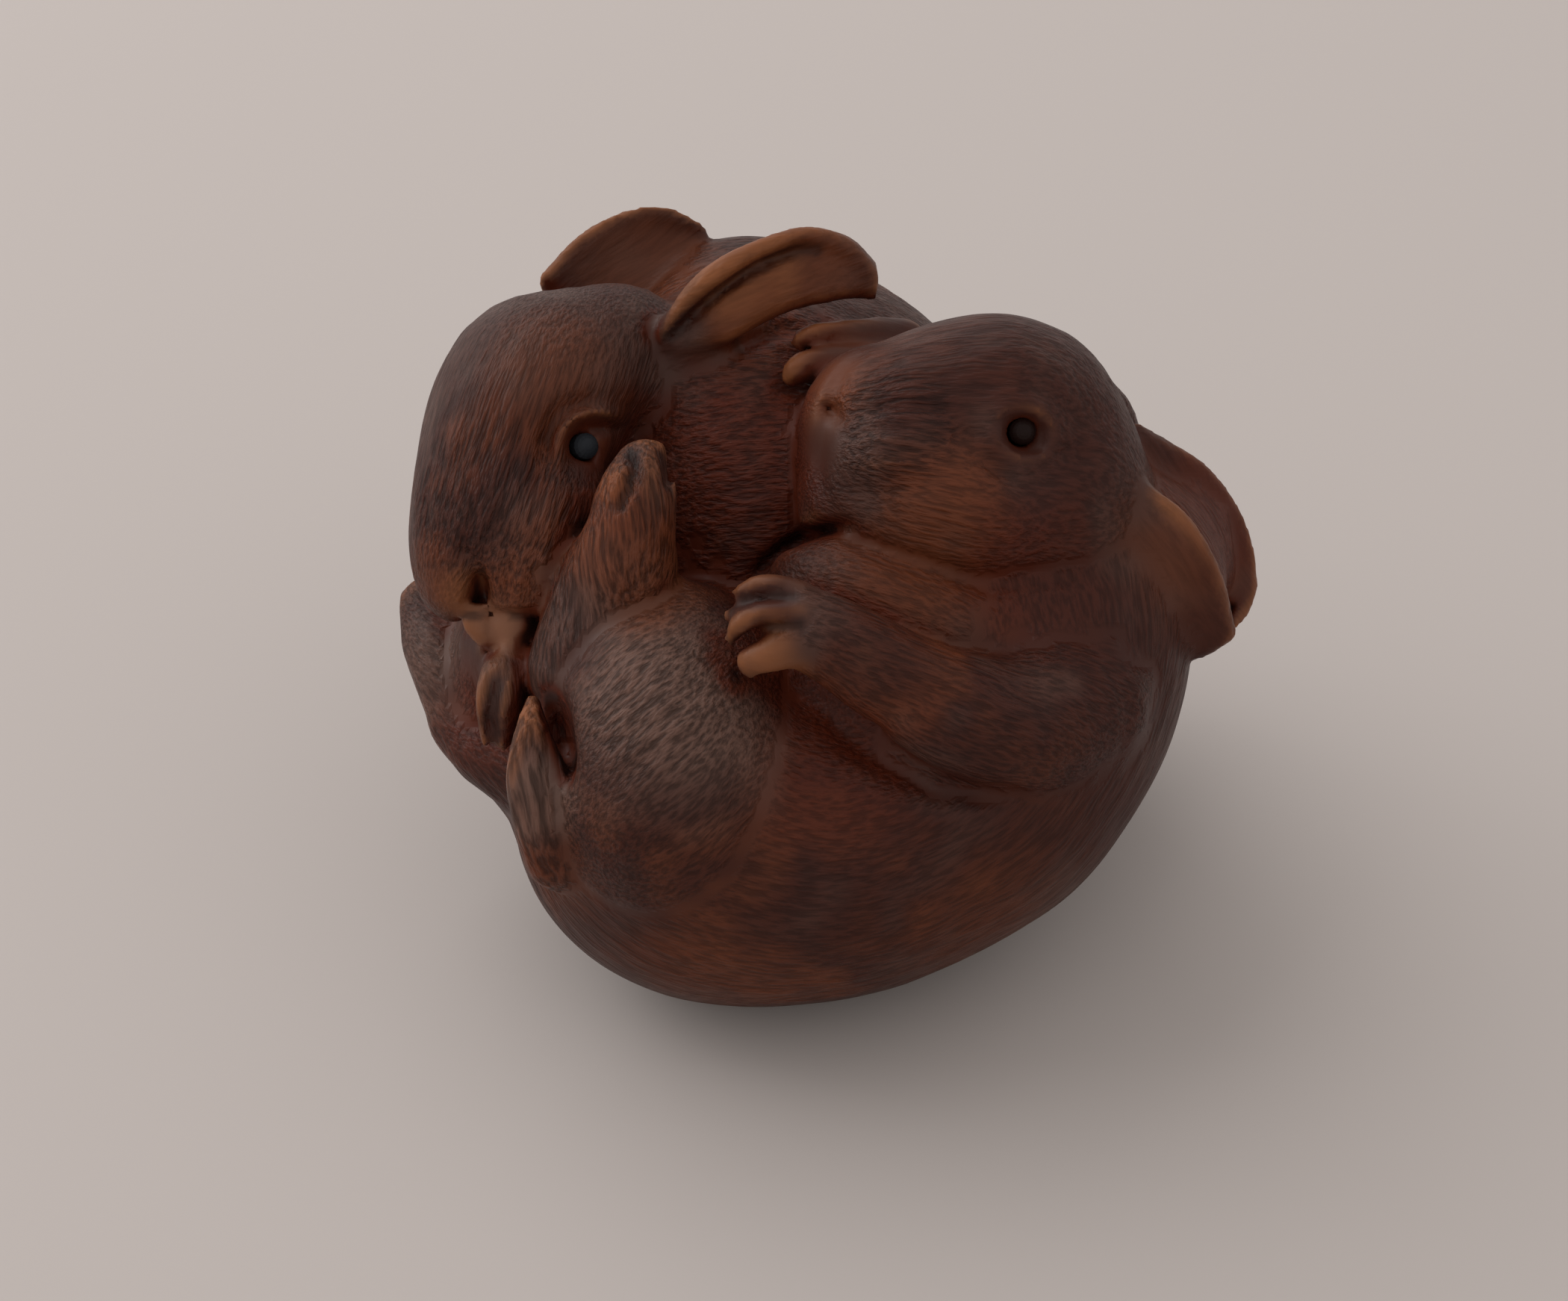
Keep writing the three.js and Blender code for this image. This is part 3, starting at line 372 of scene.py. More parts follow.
front_ears = {
    "nape": egg((15.5, 3.1, 3), (4.4, 3.4, 4), blend=1.6, along=(0.55, -0.8, 0), side=(1, 0, 0)),
    "bed": egg((15.2, 2.2, 6.2), (4, 2.4, 2.4), blend=1, along=(0.6, -0.8, 0), side=(1, 0, 0)),
    "near": sheet(
        [(11.3, 4.6, 9.4), (13.6, 2.2, 9.3), (15.6, 0.3, 8.3), (17.6, -1.8, 6.6)],
        [2, 2.9, 2.4, 1.2], (0.8, 0.5, 0.3), thick=0.6, blend=0.7,
    ),
    "far": sheet(
        [(14.3, 6.8, 6), (16.4, 5.2, 4.8), (18.2, 2.9, 3.8), (19.3, 0.4, 3)],
        [1, 1.6, 1.6, 0.7], (0.75, 0.6, -0.2), thick=0.55, cup=0.3,
    ),
    "far rim": limb(
        [
            (14.1, 7.9, 6), (15.7, 6.9, 5.4), (17.3, 5.7, 4.8), (18.7, 4.1, 4),
            (19.7, 2.3, 3.4), (19.9, 0.8, 3), (19.4, -0.4, 3),
        ],
        [0.4, 0.5, 0.5, 0.42, 0.4, 0.4, 0.35], blend=0.3,
    ),
}

# The larger cuts: a line has its width and depth, a hollow its radii, turn and depth, and a ring its
# radii, turn, width and height.
rear_eyes = on_both_sides(REAR_HEAD_MIDDLE, REAR_HEAD_ACROSS, [
    hollow((-10.8, 7.1, 8.9), (1.9, 1.5), 25, 0.8),
    hollow((-10.6, 7.05, 9), (1.1, 0.9), 25, -0.6),
    line([(-12.5, 6.3, 9.8), (-12.2, 7.5, 9.6), (-11.2, 8.3, 9.2), (-9.7, 8.4, 7.7)], 0.34, -0.4),
    line([(-12.9, 5.8, 10.2), (-13, 7.2, 9.8), (-12.3, 8.5, 9.6), (-10.9, 9.2, 9.1)], 0.8, 0.25),
])

face_lines = {
    "rear nostril": line(
        [(-16.1, 1, 9.2), (-16.2, 0.1, 8.5), (-16.2, -0.8, 8)],
        0.3, 0.8, taper=0.3, reach=0.8,
    ),
    "rear mouth": line(
        [(-16.3, 0.6, 8.9), (-16.4, -0.3, 8.3), (-16.4, -1.1, 8)],
        0.55, 0.6, taper=0, reach=0.8,
    ),
    "rear nose side": line([(-17, 2.2, 9.7), (-16.5, 1.7, 9.5), (-16.2, 0.8, 8.9)], 0.3, 0.35),
    "front eye hollow": hollow((8.1, 7, 12.7), (2.7, 2), -15, 0.7),
    "front eye lid": ring((8.3, 7.2, 12.8), (1.38, 1.1), -25, 0.32, 0.5),
    "front nose edge": line(
        [
            (1.2, 10.9, 11.4), (0.4, 10.2, 11.6), (-0.1, 9, 12),
            (-0.6, 7, 11.9), (-0.6, 5, 11.6), (0, 3.7, 11.6),
        ],
        0.35, 0.22,
    ),
    "front pad edge": line(
        [(0.6, 4.6, 12.3), (2.5, 4.8, 13.1), (4.2, 5.4, 13.4), (5.1, 6.1, 13.3)],
        0.6, 0.18,
    ),
    "front pad": hollow((1.8, 6.2, 13.6), (2, 1.2), 0, -0.35),
    "front jaw": line(
        [
            (-0.2, 3.4, 11.3), (1.5, 2.2, 11.6), (4, 1.2, 11.8),
            (6.5, 0.7, 11), (9.3, 0.9, 10.8), (11.8, 1.2, 10.8),
        ],
        0.7, 0.3,
    ),
    "front chin slot": line(
        [(-3.8, 1.1, 6.6), (-2.3, 2.4, 6.8), (-0.5, 3, 10.4), (0.7, 3.2, 11.3)],
        0.32, 0.7,
    ),
}

body_lines = {
    "crease": line(
        [
            (-2.3, -4.1, 11.3), (-0.7, -5, 11.2), (0.7, -6.4, 11.8),
            (2.6, -7.6, 12), (5, -8.5, 12), (7.8, -8.7, 12.1),
        ],
        0.8, 0.7,
    ),
    "elbow": line([(1.4, -6.6, 11.9), (2.4, -4.9, 15.9), (4.4, -4.2, 15.9)], 0.6, 0.2),
    "flank": hollow((3.3, -11.1, 12.1), (4, 2.2), -20, 0.35),
    "rear ear slot": line(
        [
            (-7.6, 12.1, 7.3), (-6.5, 13.1, 7.6), (-5.4, 14, 8),
            (-3.8, 15.2, 7.9), (-2.3, 15.9, 7.5), (-1.2, 16.3, 7.5),
        ],
        0.36, 0.5, reach=0.3,
    ),
    "rear ear gap": line(
        [(-4.2, 11.9, 6.5), (-1.9, 13, 6.5), (0.3, 13.5, 5.5), (2, 13.8, 4.5)],
        0.4, 0.9, reach=1.5,
    ),
}

# Finer cuts of a narrow tool, in the order in which they are made.
fine_lines = [
    # The slits between the toes of the raised hind foot, of the near forepaw and of the rear paw.
    line([(-9, 6.3, 13.3), (-8.85, 5.4, 13.7), (-9.1, 4.7, 13.9), (-9.5, 3.8, 14.1)], 0.24, 0.5, taper=0.3),
    line([(-7.6, 6.3, 12.8), (-7.45, 5.6, 13), (-7.5, 4.8, 13.4)], 0.22, 0.4, taper=0.3),
    line([(-4.7, -0.6, 15.2), (-4.4, -0.3, 15.8), (-3.2, -0.1, 16.2), (-1.8, -0.1, 16.6)], 0.3, 0.45),
    line([(-4.5, -2.2, 15.4), (-4.1, -1.9, 16), (-3, -1.4, 16.5), (-1.3, -1.3, 17)], 0.32, 0.5),
    line([(-15.3, -3.7, 9.6), (-15.6, -5.2, 9.6), (-15.6, -6.8, 9)], 0.32, 0.6, taper=0.3, reach=1.2),
    # The folds of the rear lip, then the teeth once more over the cuts, their split and the lip's edge.
    line([(-14.4, 2.4, 10.2), (-14.8, 0.8, 9.7), (-14.9, -0.4, 9.1)], 0.28, 0.25),
    line([(-13.4, 2.4, 10.3), (-13.9, 0.8, 9.9), (-14.3, -0.4, 9.2)], 0.28, 0.25),
    sheet(
        [(-15.45, -0.7, 8.1), (-15.4, -1.5, 7.9), (-15.35, -2.2, 7.5)],
        [1.9, 1.35, 0.7], (1, 0, 0), thick=0.6, blend=0.1,
    ),
    line([(-15.8, -0.6, 8.9), (-15.5, -2.3, 8)], 0.24, 0.3, taper=0.1, reach=0.6),
    line([(-17, -0.8, 8.4), (-15.4, -0.75, 9), (-13.8, -0.85, 8.6)], 0.24, 0.35, taper=0.2, reach=0.8),
    # The rim carried round the tip of the far front ear, and the edge of the chin below the teeth.
    limb([(19.8, 0.6, 3.2), (19.5, -0.4, 3.4), (18.9, -1.1, 4)], [0.4, 0.42, 0.36], blend=0.4),
    line(
        [(-13.2, -1.2, 7.5), (-13.9, -2, 7.2), (-15, -2.7, 7), (-16, -2.5, 7)],
        0.28, 0.5, taper=0.3, reach=0.6,
    ),
    # The creases round the front eye, and the front nostril.
    line([(9.7, 6.5, 12.2), (10.6, 6.3, 11.9), (11.5, 6.4, 11.8)], 0.35, 0.2),
    line([(6.8, 7.5, 13), (5.8, 7.1, 13), (4.9, 6.9, 13.3)], 0.4, 0.2),
    line([(6, 6.3, 13), (7.2, 5.4, 12.7), (8.5, 4.7, 12.5)], 0.3, 0.25),
    line([(-0.2, 8.4, 11.9), (0.1, 8, 12)], 0.28, 0.6, taper=0),
    # The rows of whiskers on the front muzzle, and a dip in the forearm.
    line([(0.4, 7.8, 12.7), (1.8, 8.2, 13.2), (3.5, 8.3, 13.4), (5.3, 8, 13.2)], 0.28, 0.3),
    line([(0.3, 7, 12.8), (1.8, 7.3, 13.4), (3.4, 7.3, 13.6), (5, 7, 13.4)], 0.28, 0.28),
    line([(0.3, 6.2, 12.8), (1.7, 6.4, 13.4), (3.4, 6.3, 13.7), (4.6, 6.1, 13.4)], 0.28, 0.22),
    hollow((8.1, -4.1, 14.1), (0.9, 0.6), 0, 0.2),
    # The lids of the near rear eye: a groove, a ridge and an outer groove. The front eye's outer ring.
    line(
        [(-12, 6.3, 9.6), (-12.05, 7.1, 9.4), (-11.6, 7.7, 9.1), (-10.9, 7.9, 8.7), (-10.1, 7.9, 8.2)],
        0.24, 0.4,
    ),
    line(
        [(-12.5, 6, 9.9), (-12.5, 7.1, 9.6), (-12, 8, 9.3), (-11, 8.45, 8.8), (-9.9, 8.5, 8)],
        0.26, -0.35,
    ),
    line([(-13, 6.1, 10.1), (-13, 7.3, 9.8), (-12.3, 8.5, 9.5), (-11, 9, 9)], 0.3, 0.22),
    ring((8.3, 7.2, 12.8), (2.1, 1.55), -25, 0.28, 0.18),
    # The locks of the front tail.
    line([(-13.9, -10.1, 11.9), (-13.9, -8.3, 12.6), (-13.7, -6.2, 12.3)], 0.26, 0.25),
    line([(-13.1, -10.1, 12), (-13.3, -8.3, 12.6), (-13.4, -6.2, 12.3)], 0.26, 0.25),
    line([(-12.3, -9.9, 11.9), (-12.7, -8.3, 12.5), (-13.1, -6.2, 12.3)], 0.26, 0.25),
]

form_steps = [
    one
    for group in (rear_body, front_body, rear_head, front_head, front_legs, rear_ears, front_ears)
    for one in group.values()
] + rear_eyes + list(face_lines.values()) + list(body_lines.values()) + fine_lines


def field_at(steps, at):
    """The field at each place: far off to begin with, then changed by each step inside its box."""
    field = np.full(len(at), FAR)
    for low, high, change in steps:
        felt = np.flatnonzero(np.all((at > low) & (at < high), axis=1))
        field[felt] = change(field[felt], at[felt])
    return field


# The holes are cut at places on the finished form: where a ray straight at the wood first meets it.
CORD_HOLE_DIAMETER = 3.2
CORD_HOLE_SPACING = 9
CORD_TUNNEL_DEPTH = 5.5
CORD_TUNNEL_PLACES = 9
CORD_TUNNEL_BLEND = 0.5
CORD_HOLES_MIDDLE = (-4, 4.5, -10)
CORD_HOLES_FACING = (0, 0, -1)
RAY_START = 30
RAY_STEP = 0.02
EYE_DIAMETER = 1.2
EYE_LENGTH = 2.2
EYE_SUNK = 0.1
EYE_FIT = 0.04
EYE_BLEND = 0.1
# Each eye: a place near its middle, and the way it faces.
EYE_SEATS = {
    "rear_rabbit_left_eye": ((-11.3, 6.9, 9), (0.45, 0, 0.89)),
    "rear_rabbit_right_eye": ((-17.6, 8.2, 1), (-0.63, 0.3, -0.71)),
    "front_rabbit_left_eye": ((8.2, 7.2, 12.8), (0.1, -0.15, 0.98)),
}


def surface_place(towards, facing):
    """The first place inside the wood on the line from outside, against facing, through towards."""
    outward = unit(facing)
    heights = np.arange(RAY_START, -RAY_START, -RAY_STEP)
    places = np.asarray(towards, float) + heights[:, None] * outward
    return places[np.argmax(field_at(form_steps, places) < 0)]


def cord_tunnel():
    """Half an ellipse into the back, as a round cut: across by its cosine and inward by its sine."""
    middle = surface_place(CORD_HOLES_MIDDLE, CORD_HOLES_FACING)
    radius = CORD_HOLE_DIAMETER / 2
    angle = np.linspace(0, math.pi, CORD_TUNNEL_PLACES)[:, None]
    inward = np.sin(angle) * (CORD_TUNNEL_DEPTH + radius) - radius
    places = middle + np.cos(angle) * (CORD_HOLE_SPACING / 2, 0, 0) - inward * CORD_HOLES_FACING
    return limb(places, [radius] * len(places), blend=CORD_TUNNEL_BLEND, cut=True)


def eye_pocket(towards, facing):
    """A straight round pocket for the pin of an eye, from its back end to well outside the wood."""
    outward = unit(facing)
    front = surface_place(towards, facing) - EYE_SUNK * outward
    radius = EYE_DIAMETER / 2 + EYE_FIT
    path = [front - (EYE_LENGTH - radius) * outward, front + EYE_DIAMETER * outward]
    return limb(path, [radius] * len(path), blend=EYE_BLEND, cut=True)


hole_steps = [cord_tunnel()] + [eye_pocket(*seat) for seat in EYE_SEATS.values()]
all_steps = form_steps + hole_steps

# The surface of the wood, as a mesh of four-sided faces with one point in each grid cell that it
# passes through. The field is worked out on a coarse grid first, and on the fine grid only where it is
# within NEAR_SHARE coarse steps of the surface, in batches that keep the memory small.
GRID_STEP = 0.286
COARSE = 4
NEAR_SHARE = 1.9
BATCH = 300000


def grid_field(steps):
    """The field on the fine grid: worked out near the surface, and taken from the coarse grid elsewhere."""
    low = np.min([one[0] for one in steps], axis=0)
    high = np.max([one[1] for one in steps], axis=0)
    coarse_step = GRID_STEP * COARSE
    counts = np.ceil((high - low) / coarse_step).astype(int) + 1
    coarse_places = np.indices(counts).reshape(3, -1).T * coarse_step + low
    coarse = field_at(steps, coarse_places).reshape(counts)
    fine = coarse.repeat(COARSE, 0).repeat(COARSE, 1).repeat(COARSE, 2)
    cells = np.argwhere(np.abs(fine) < NEAR_SHARE * coarse_step)
    batches = np.array_split(cells, len(cells) // BATCH + 1)
    near = [field_at(steps, batch * GRID_STEP + low) for batch in batches]
    fine[tuple(cells.T)] = np.concatenate(near)
    return low, fine


def surface_of(low, field):
    """Points at the mean of a cell's edge crossings, and a face round each grid edge that is crossed."""
    inside = field < 0
    corners = np.indices((2, 2, 2)).reshape(3, -1).T
    size = np.array(field.shape) - 1
    held = np.zeros(size, int)
    for corner in corners:
        held += inside[tuple(slice(c, c + n) for c, n in zip(corner, size))]
    cells = np.argwhere((held > 0) & (held < len(corners)))
    number = np.full(size, -1)
    number[tuple(cells.T)] = np.arange(len(cells))
    total = np.zeros((len(cells), 3))
    count = np.zeros(len(cells))
    for first in corners:
        for second in corners:
            if (second - first).sum() != 1 or (second < first).any():
                continue
            start = field[tuple((cells + first).T)]
            end = field[tuple((cells + second).T)]
            crossed = (start < 0) != (end < 0)
            share = np.where(crossed, start / np.where(crossed, start - end, 1), 0)
            total += np.where(crossed[:, None], first + share[:, None] * (second - first), 0)
            count += crossed
    points = (cells + total / count[:, None]) * GRID_STEP + low
    faces = []
    for axis in range(3):
        onward = np.eye(3, dtype=int)[axis]
        next_inside = inside[tuple(slice(1 + n, m + n) for n, m in zip(onward, size))]
        edges = np.argwhere(inside[1:-1, 1:-1, 1:-1] != next_inside) + 1
        across = np.eye(3, dtype=int)[(axis + 1) % 3]
        up = np.eye(3, dtype=int)[(axis + 2) % 3]
        round_edge = (-across - up, -up, 0 * up, -across)
        four = np.stack([number[tuple((edges + offset).T)] for offset in round_edge], axis=1)
        outward = inside[tuple(edges.T)]
        faces.append(np.where(outward[:, None], four, four[:, ::-1]))
    return points, np.vstack(faces)


def largest_part(points, faces):
    """The points and faces of the largest connected part: each point takes the least number in its faces,
    again and again, until none changes."""
    label = np.arange(len(points))
    while True:
        least = label[faces].min(axis=1)
        before = label.copy()
        for corner in faces.T:
            np.minimum.at(label, corner, least)
        label = label[label]
        if (label == before).all():
            break
    kept = label == np.bincount(label).argmax()
    order = np.cumsum(kept) - 1
    return points[kept], order[faces[kept[faces[:, 0]]]]


def mean_of_neighbours(values, faces):
    """For each point, the mean of the values at the next and the last corner of the faces round it."""
    total = np.zeros_like(values)
    for shift in (1, 3):
        beside = values[np.roll(faces, shift, axis=1)]
        for column in range(values.shape[1]):
            weights = beside[..., column].ravel()
            total[:, column] += np.bincount(faces.ravel(), weights, len(values))
    return total / (2 * np.bincount(faces.ravel(), minlength=len(values)))[:, None]


def outward_normals(points, faces):
    """The sum of the crossed diagonals of the faces round each point, made one long."""
    one_way = points[faces[:, 2]] - points[faces[:, 0]]
    other_way = points[faces[:, 3]] - points[faces[:, 1]]
    square = np.cross(one_way, other_way)
    total = np.zeros_like(points)
    for axis in range(3):
        spread = np.repeat(square[:, axis], 4)
        total[:, axis] = np.bincount(faces.ravel(), spread, len(points))
    return total / (length_of(total)[:, None] + TINY)


drawn_points, wood_faces = largest_part(*surface_of(*grid_field(all_steps)))
drawn_points = (drawn_points + mean_of_neighbours(drawn_points, wood_faces)) / 2
normals = outward_normals(drawn_points, wood_faces)

# The wood: its hair
# The carver cut hair with a fine tool all over both rabbits, in strokes that follow the body. The
# strokes are furrows in the mesh, and the finest ones between them are left to the material.


def parts(group, names):
    """The steps of a group that have these names, in this order."""
    return [group[name] for name in names.split(", ")]


TOES = "upper toe, middle toe, lower toe, far upper toe, far lower toe"
# Each row: the parts it covers, how the hair lies, then a stroke's width, length and depth in mm.
HAIR = [
    (parts(rear_body, "back, rump, belly"), (1, 0.1, 0), 0.3, 1.5, 0.05),
    (parts(rear_body, "neck, nape, chest"), (1, 0.06, 0), 0.26, 1.1, 0.07),
    (parts(rear_body, "haunch, foot"), (0.6, 0.75, 0.2), 0.28, 1.5, 0.05),
    (parts(rear_body, "tail"), (0.5, 0.8, 0.3), 0.35, 3, 0.09),
    (parts(rear_head, "skull, crown, muzzle, cheek, nose, lip"), (-0.3, -0.95, 0.1), 0.25, 1.9, 0.05),
    (parts(rear_head, "chin, teeth"), (0, -1, 0), 0.6, 4, 0.01),
    (parts(rear_head, "front shank"), (-0.5, -0.8, 0), 0.28, 1.6, 0.06),
    (parts(front_body, "chest, belly, side, rump, neck, far hip"), "round", 0.26, 1.5, 0.05),
    (parts(front_body, "throat"), (1, -0.35, 0), 0.26, 1.2, 0.05),
    (parts(front_body, "haunch"), (0.75, 0.65, 0), 0.28, 1, 0.06),
    (parts(front_head, "skull, occiput, muzzle, cheek, nose, chin"), "swept", 0.25, 1.9, 0.05),
    (parts(front_legs, "hind foot"), (-0.1, 1, 0.1), 0.3, 2.4, 0.08),
    (parts(front_legs, "far foot, far leg"), (0.75, -0.6, 0.2), 0.28, 1.2, 0.06),
    (parts(front_legs, "tail"), (-0.1, 1, 0.2), 0.42, 5, 0.1),
    (parts(front_legs, "arm"), (-0.95, 0.35, 0.3), 0.26, 1.4, 0.06),
    (parts(front_legs, TOES), (-1, 0.05, 0.1), 0.5, 3, 0.01),
    (parts(front_legs, "rear paw"), (0.1, -1, 0.1), 0.3, 3, 0.04),
    (parts(rear_ears, "near, near rim, root"), (0.95, 0.35, -0.1), 0.4, 4, 0.02),
    (parts(rear_ears, "far"), (0.75, 0.6, -0.3), 0.4, 4, 0.02),
    (parts(front_ears, "nape, bed"), (0.6, -0.8, -0.1), 0.28, 1.6, 0.04),
    (parts(front_ears, "near, far, far rim"), (0.6, -0.75, -0.3), 0.4, 4, 0.02),
]
# Round hair turns about ROUND_MIDDLE. Swept hair fans down and back from SWEEP_TOP, by SWEEP.
ROUND_MIDDLE = np.array([0, -2, 0])
ROUND_RADIUS = 10
SWEEP = 0.12
SWEEP_TOP = 9
SWEEP_HEIGHT = 4
UPRIGHT = (0.1, 0.2, 1)
# Places where the hair is cut deeper, and where it ends in bare polished skin: how much more or less of
# it there is, the middle and the radius, over which the change fades away between two shares.
MORE_HAIR = [
    (1.2, (-15.6, 4.2, 9.5), 4.2),
    (1.2, (2.6, 7.4, 13), 2.8),
    (0.6, (-8, -5, 14), 3.5),
    (0.8, (-12.8, -9.4, 11.6), 2.4),
    (-0.5, (-17.4, 0.6, 8), 1.8),
    (-1, (-0.4, 7, 11.4), 1.8),
    (-0.9, (-0.2, 10.4, 11), 1.8),
    (-1, (-15.4, -1.6, 8), 1.5),
    (-1, (-11, 7.1, 9), 1.7),
    (-1, (8.3, 7.2, 12.8), 1.6),
]
MORE_HAIR_FADE = (0.5, 1.2)
# Noise wanders the strokes and makes the border between two rows ragged, where they fade away. Each
# noise has its own spacing in mm, or in widths and lengths of a stroke, and its own seed.
LATTICE_SIZE = 64
RAGGED = 0.3
RAGGED_SPACING = 0.9
RAGGED_SEED = 5
BORDER_FADE = (0.02, 0.4)
WANDER = 0.3
WANDER_SPACING = 1.5
WANDER_SEED = 7
STROKE_SPACING = (2, 2, 1.5)
STROKE_SEED = 11
CLEAR_OF_HOLES = 0.3


def lattice_noise(at, seed):
    """Noise from -1 to 1: random values at whole places, mixed by 3 t squared - 2 t cubed in between."""
    values = np.random.default_rng(seed).uniform(-1, 1, (LATTICE_SIZE,) * 3)
    whole = np.floor(at).astype(int)
    share = at - whole
    share = share * share * (3 - 2 * share)
    total = np.zeros(len(at))
    for corner in np.indices((2, 2, 2)).reshape(3, -1).T:
        weight = np.prod(np.where(corner, share, 1 - share), axis=1)
        total += weight * values[tuple(((whole + corner) % LATTICE_SIZE).T)]
    return total


def rise(values, low, high):
    """Zero below low and one above high, with 3 t squared - 2 t cubed in between."""
    share = np.clip((values - low) / (high - low), 0, 1)
    return share * share * (3 - 2 * share)


def straight_lie(at, along):
    """Two coordinates across the hair and one along it, in mm: dot products with the axes."""
    turn = axes_of(along, UPRIGHT)
    return np.column_stack([at @ turn[1], at @ turn[2], at @ turn[0]])


def round_lie(at):
    """Across: the distance from the middle as seen from the front, and the height. Along: the angle round
    the middle times a radius."""
    x, y, z = (at - ROUND_MIDDLE).T
    return np.column_stack([np.hypot(x, y), z, ROUND_RADIUS * np.arctan2(y, x)])


def swept_lie(at):
    """Across: y, raised by SWEEP times x times the depth below the top over a height, and z. Along: x less
    SWEEP times y."""
    x, y, z = at.T
    return np.column_stack([y + SWEEP * x * (SWEEP_TOP - y) / SWEEP_HEIGHT, z, x - SWEEP * y])


def hair_of(at):
    """For each place, its lie in widths and lengths of a stroke, the depth of a stroke and the row's
    number: those of the row whose surface is nearest, and no depth where two rows are equally near."""
    nearest = np.full(len(at), np.inf)
    second = np.full(len(at), np.inf)
    lie = np.zeros((len(at), 3))
    depth = np.zeros(len(at))
    row = np.zeros(len(at), int)
    ragged = RAGGED * lattice_noise(at / RAGGED_SPACING, RAGGED_SEED)
    for number, (parts, along, width, length, furrow) in enumerate(HAIR):
        gap = np.abs(field_at(parts, at)) + ragged * (1 if number % 2 else -1)
        own = np.flatnonzero(gap < nearest)
        second = np.minimum(second, np.maximum(gap, nearest))
        nearest[own] = gap[own]
        if along == "round":
            own_lie = round_lie(at[own])
        elif along == "swept":
            own_lie = swept_lie(at[own])
        else:
            own_lie = straight_lie(at[own], along)
        lie[own] = own_lie / (width, width, length)
        depth[own] = furrow
        row[own] = number
    for across in (0, 1):
        lie[:, across] += WANDER * lattice_noise(at / WANDER_SPACING, WANDER_SEED + across)
    for more, middle, radius in MORE_HAIR:
        depth *= 1 + more * (1 - rise(length_of(at - middle) / radius, *MORE_HAIR_FADE))
    return lie, depth * rise(second - nearest, *BORDER_FADE), row


hair_lie, hair_depth, hair_row = hair_of(drawn_points)
strokes = lattice_noise(hair_lie / STROKE_SPACING, STROKE_SEED)
clear_of_holes = np.clip(field_at(hole_steps, drawn_points) / CLEAR_OF_HOLES + 1, 0, 1)
hair_depth = hair_depth * clear_of_holes
formed_points = drawn_points
drawn_points = drawn_points + (hair_depth * strokes)[:, None] * normals

# The wood: its place
# The drawn face leans back from upright. The wood is set by its box in the frame, and what would be
# below the table is rubbed flat.
MM = 0.001
LEAN = math.radians(52)
lean = np.array(Matrix.Rotation(LEAN, 3, "X"))
cad_low, cad_high = (np.array(corner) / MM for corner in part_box("carving"))
leaned = formed_points @ lean.T
shift = (cad_low + cad_high - leaned.min(0) - leaned.max(0)) / 2
shift[2] = cad_high[2] - leaned[:, 2].max()
wood_points = drawn_points @ lean.T + shift
wood_points[:, 2] = np.maximum(wood_points[:, 2], 0)

# The wood: its colour
# Dark brown stain, redder in the soft hollows, with greyer and warmer drifts over the open forms, and
# worn through to orange on thin edges and tips. The greyer drifts are partly, and the pale grey patches
# wholly, painted sheen. Painted shade makes the deep cuts and closed-in places nearly black, and dark
# brown patches paint shade on the side away from the light.
DARK_BROWN = (0.045, 0.012, 0.0074)
SHEEN_GREY_BROWN = (0.084, 0.043, 0.033)
DEEP_RED = (0.095, 0.017, 0.0065)
WARM_BROWN = (0.135, 0.038, 0.0145)
WORN_ORANGE = (0.27, 0.098, 0.036)
SHADE_BLACK = (0.012, 0.005, 0.004)
TOOTH_BROWN = (0.22, 0.095, 0.052)
SHEEN_PALE_BROWN = (0.136, 0.081, 0.064)
# Painted shade in the cuts, slits and the gap under the near rear ear, nearly black: the path and the width
# in mm.
SHADED_CUTS = [
    ([(-7.6, 12.1, 7.3), (-5.4, 14, 8), (-2.3, 15.9, 7.5), (-0.8, 16.2, 7)], 0.34),
    ([(-16.1, 1, 9.2), (-16.2, 0.3, 8.8), (-16.3, -0.2, 8.8)], 0.32),
    ([(-17, -0.8, 8.2), (-15.4, -0.75, 8.8), (-13.8, -0.85, 8.4)], 0.2),
    ([(-4.2, 11.9, 6.5), (-1.9, 13, 6.5), (0.3, 13.5, 5.5), (2, 13.8, 4.5)], 0.5),
    ([(-9, 6.3, 13.1), (-8.85, 5.4, 13.5), (-9.1, 4.7, 13.7), (-9.5, 3.8, 13.9)], 0.26),
    ([(-7.6, 6.3, 12.6), (-7.45, 5.6, 12.8), (-7.5, 4.8, 13.2)], 0.22),
    ([(-15.3, -3.7, 9.3), (-15.6, -5.2, 9.2), (-15.6, -6.8, 8.7)], 0.26),
    ([(-4.5, -2.2, 15.2), (-4.1, -1.9, 15.8), (-3, -1.4, 16.2), (-1.6, -1.3, 16.6)], 0.26),
    ([(-4.7, -0.6, 15), (-4.4, -0.3, 15.5), (-3.2, -0.1, 15.9), (-2, -0.1, 16.2)], 0.24),
]
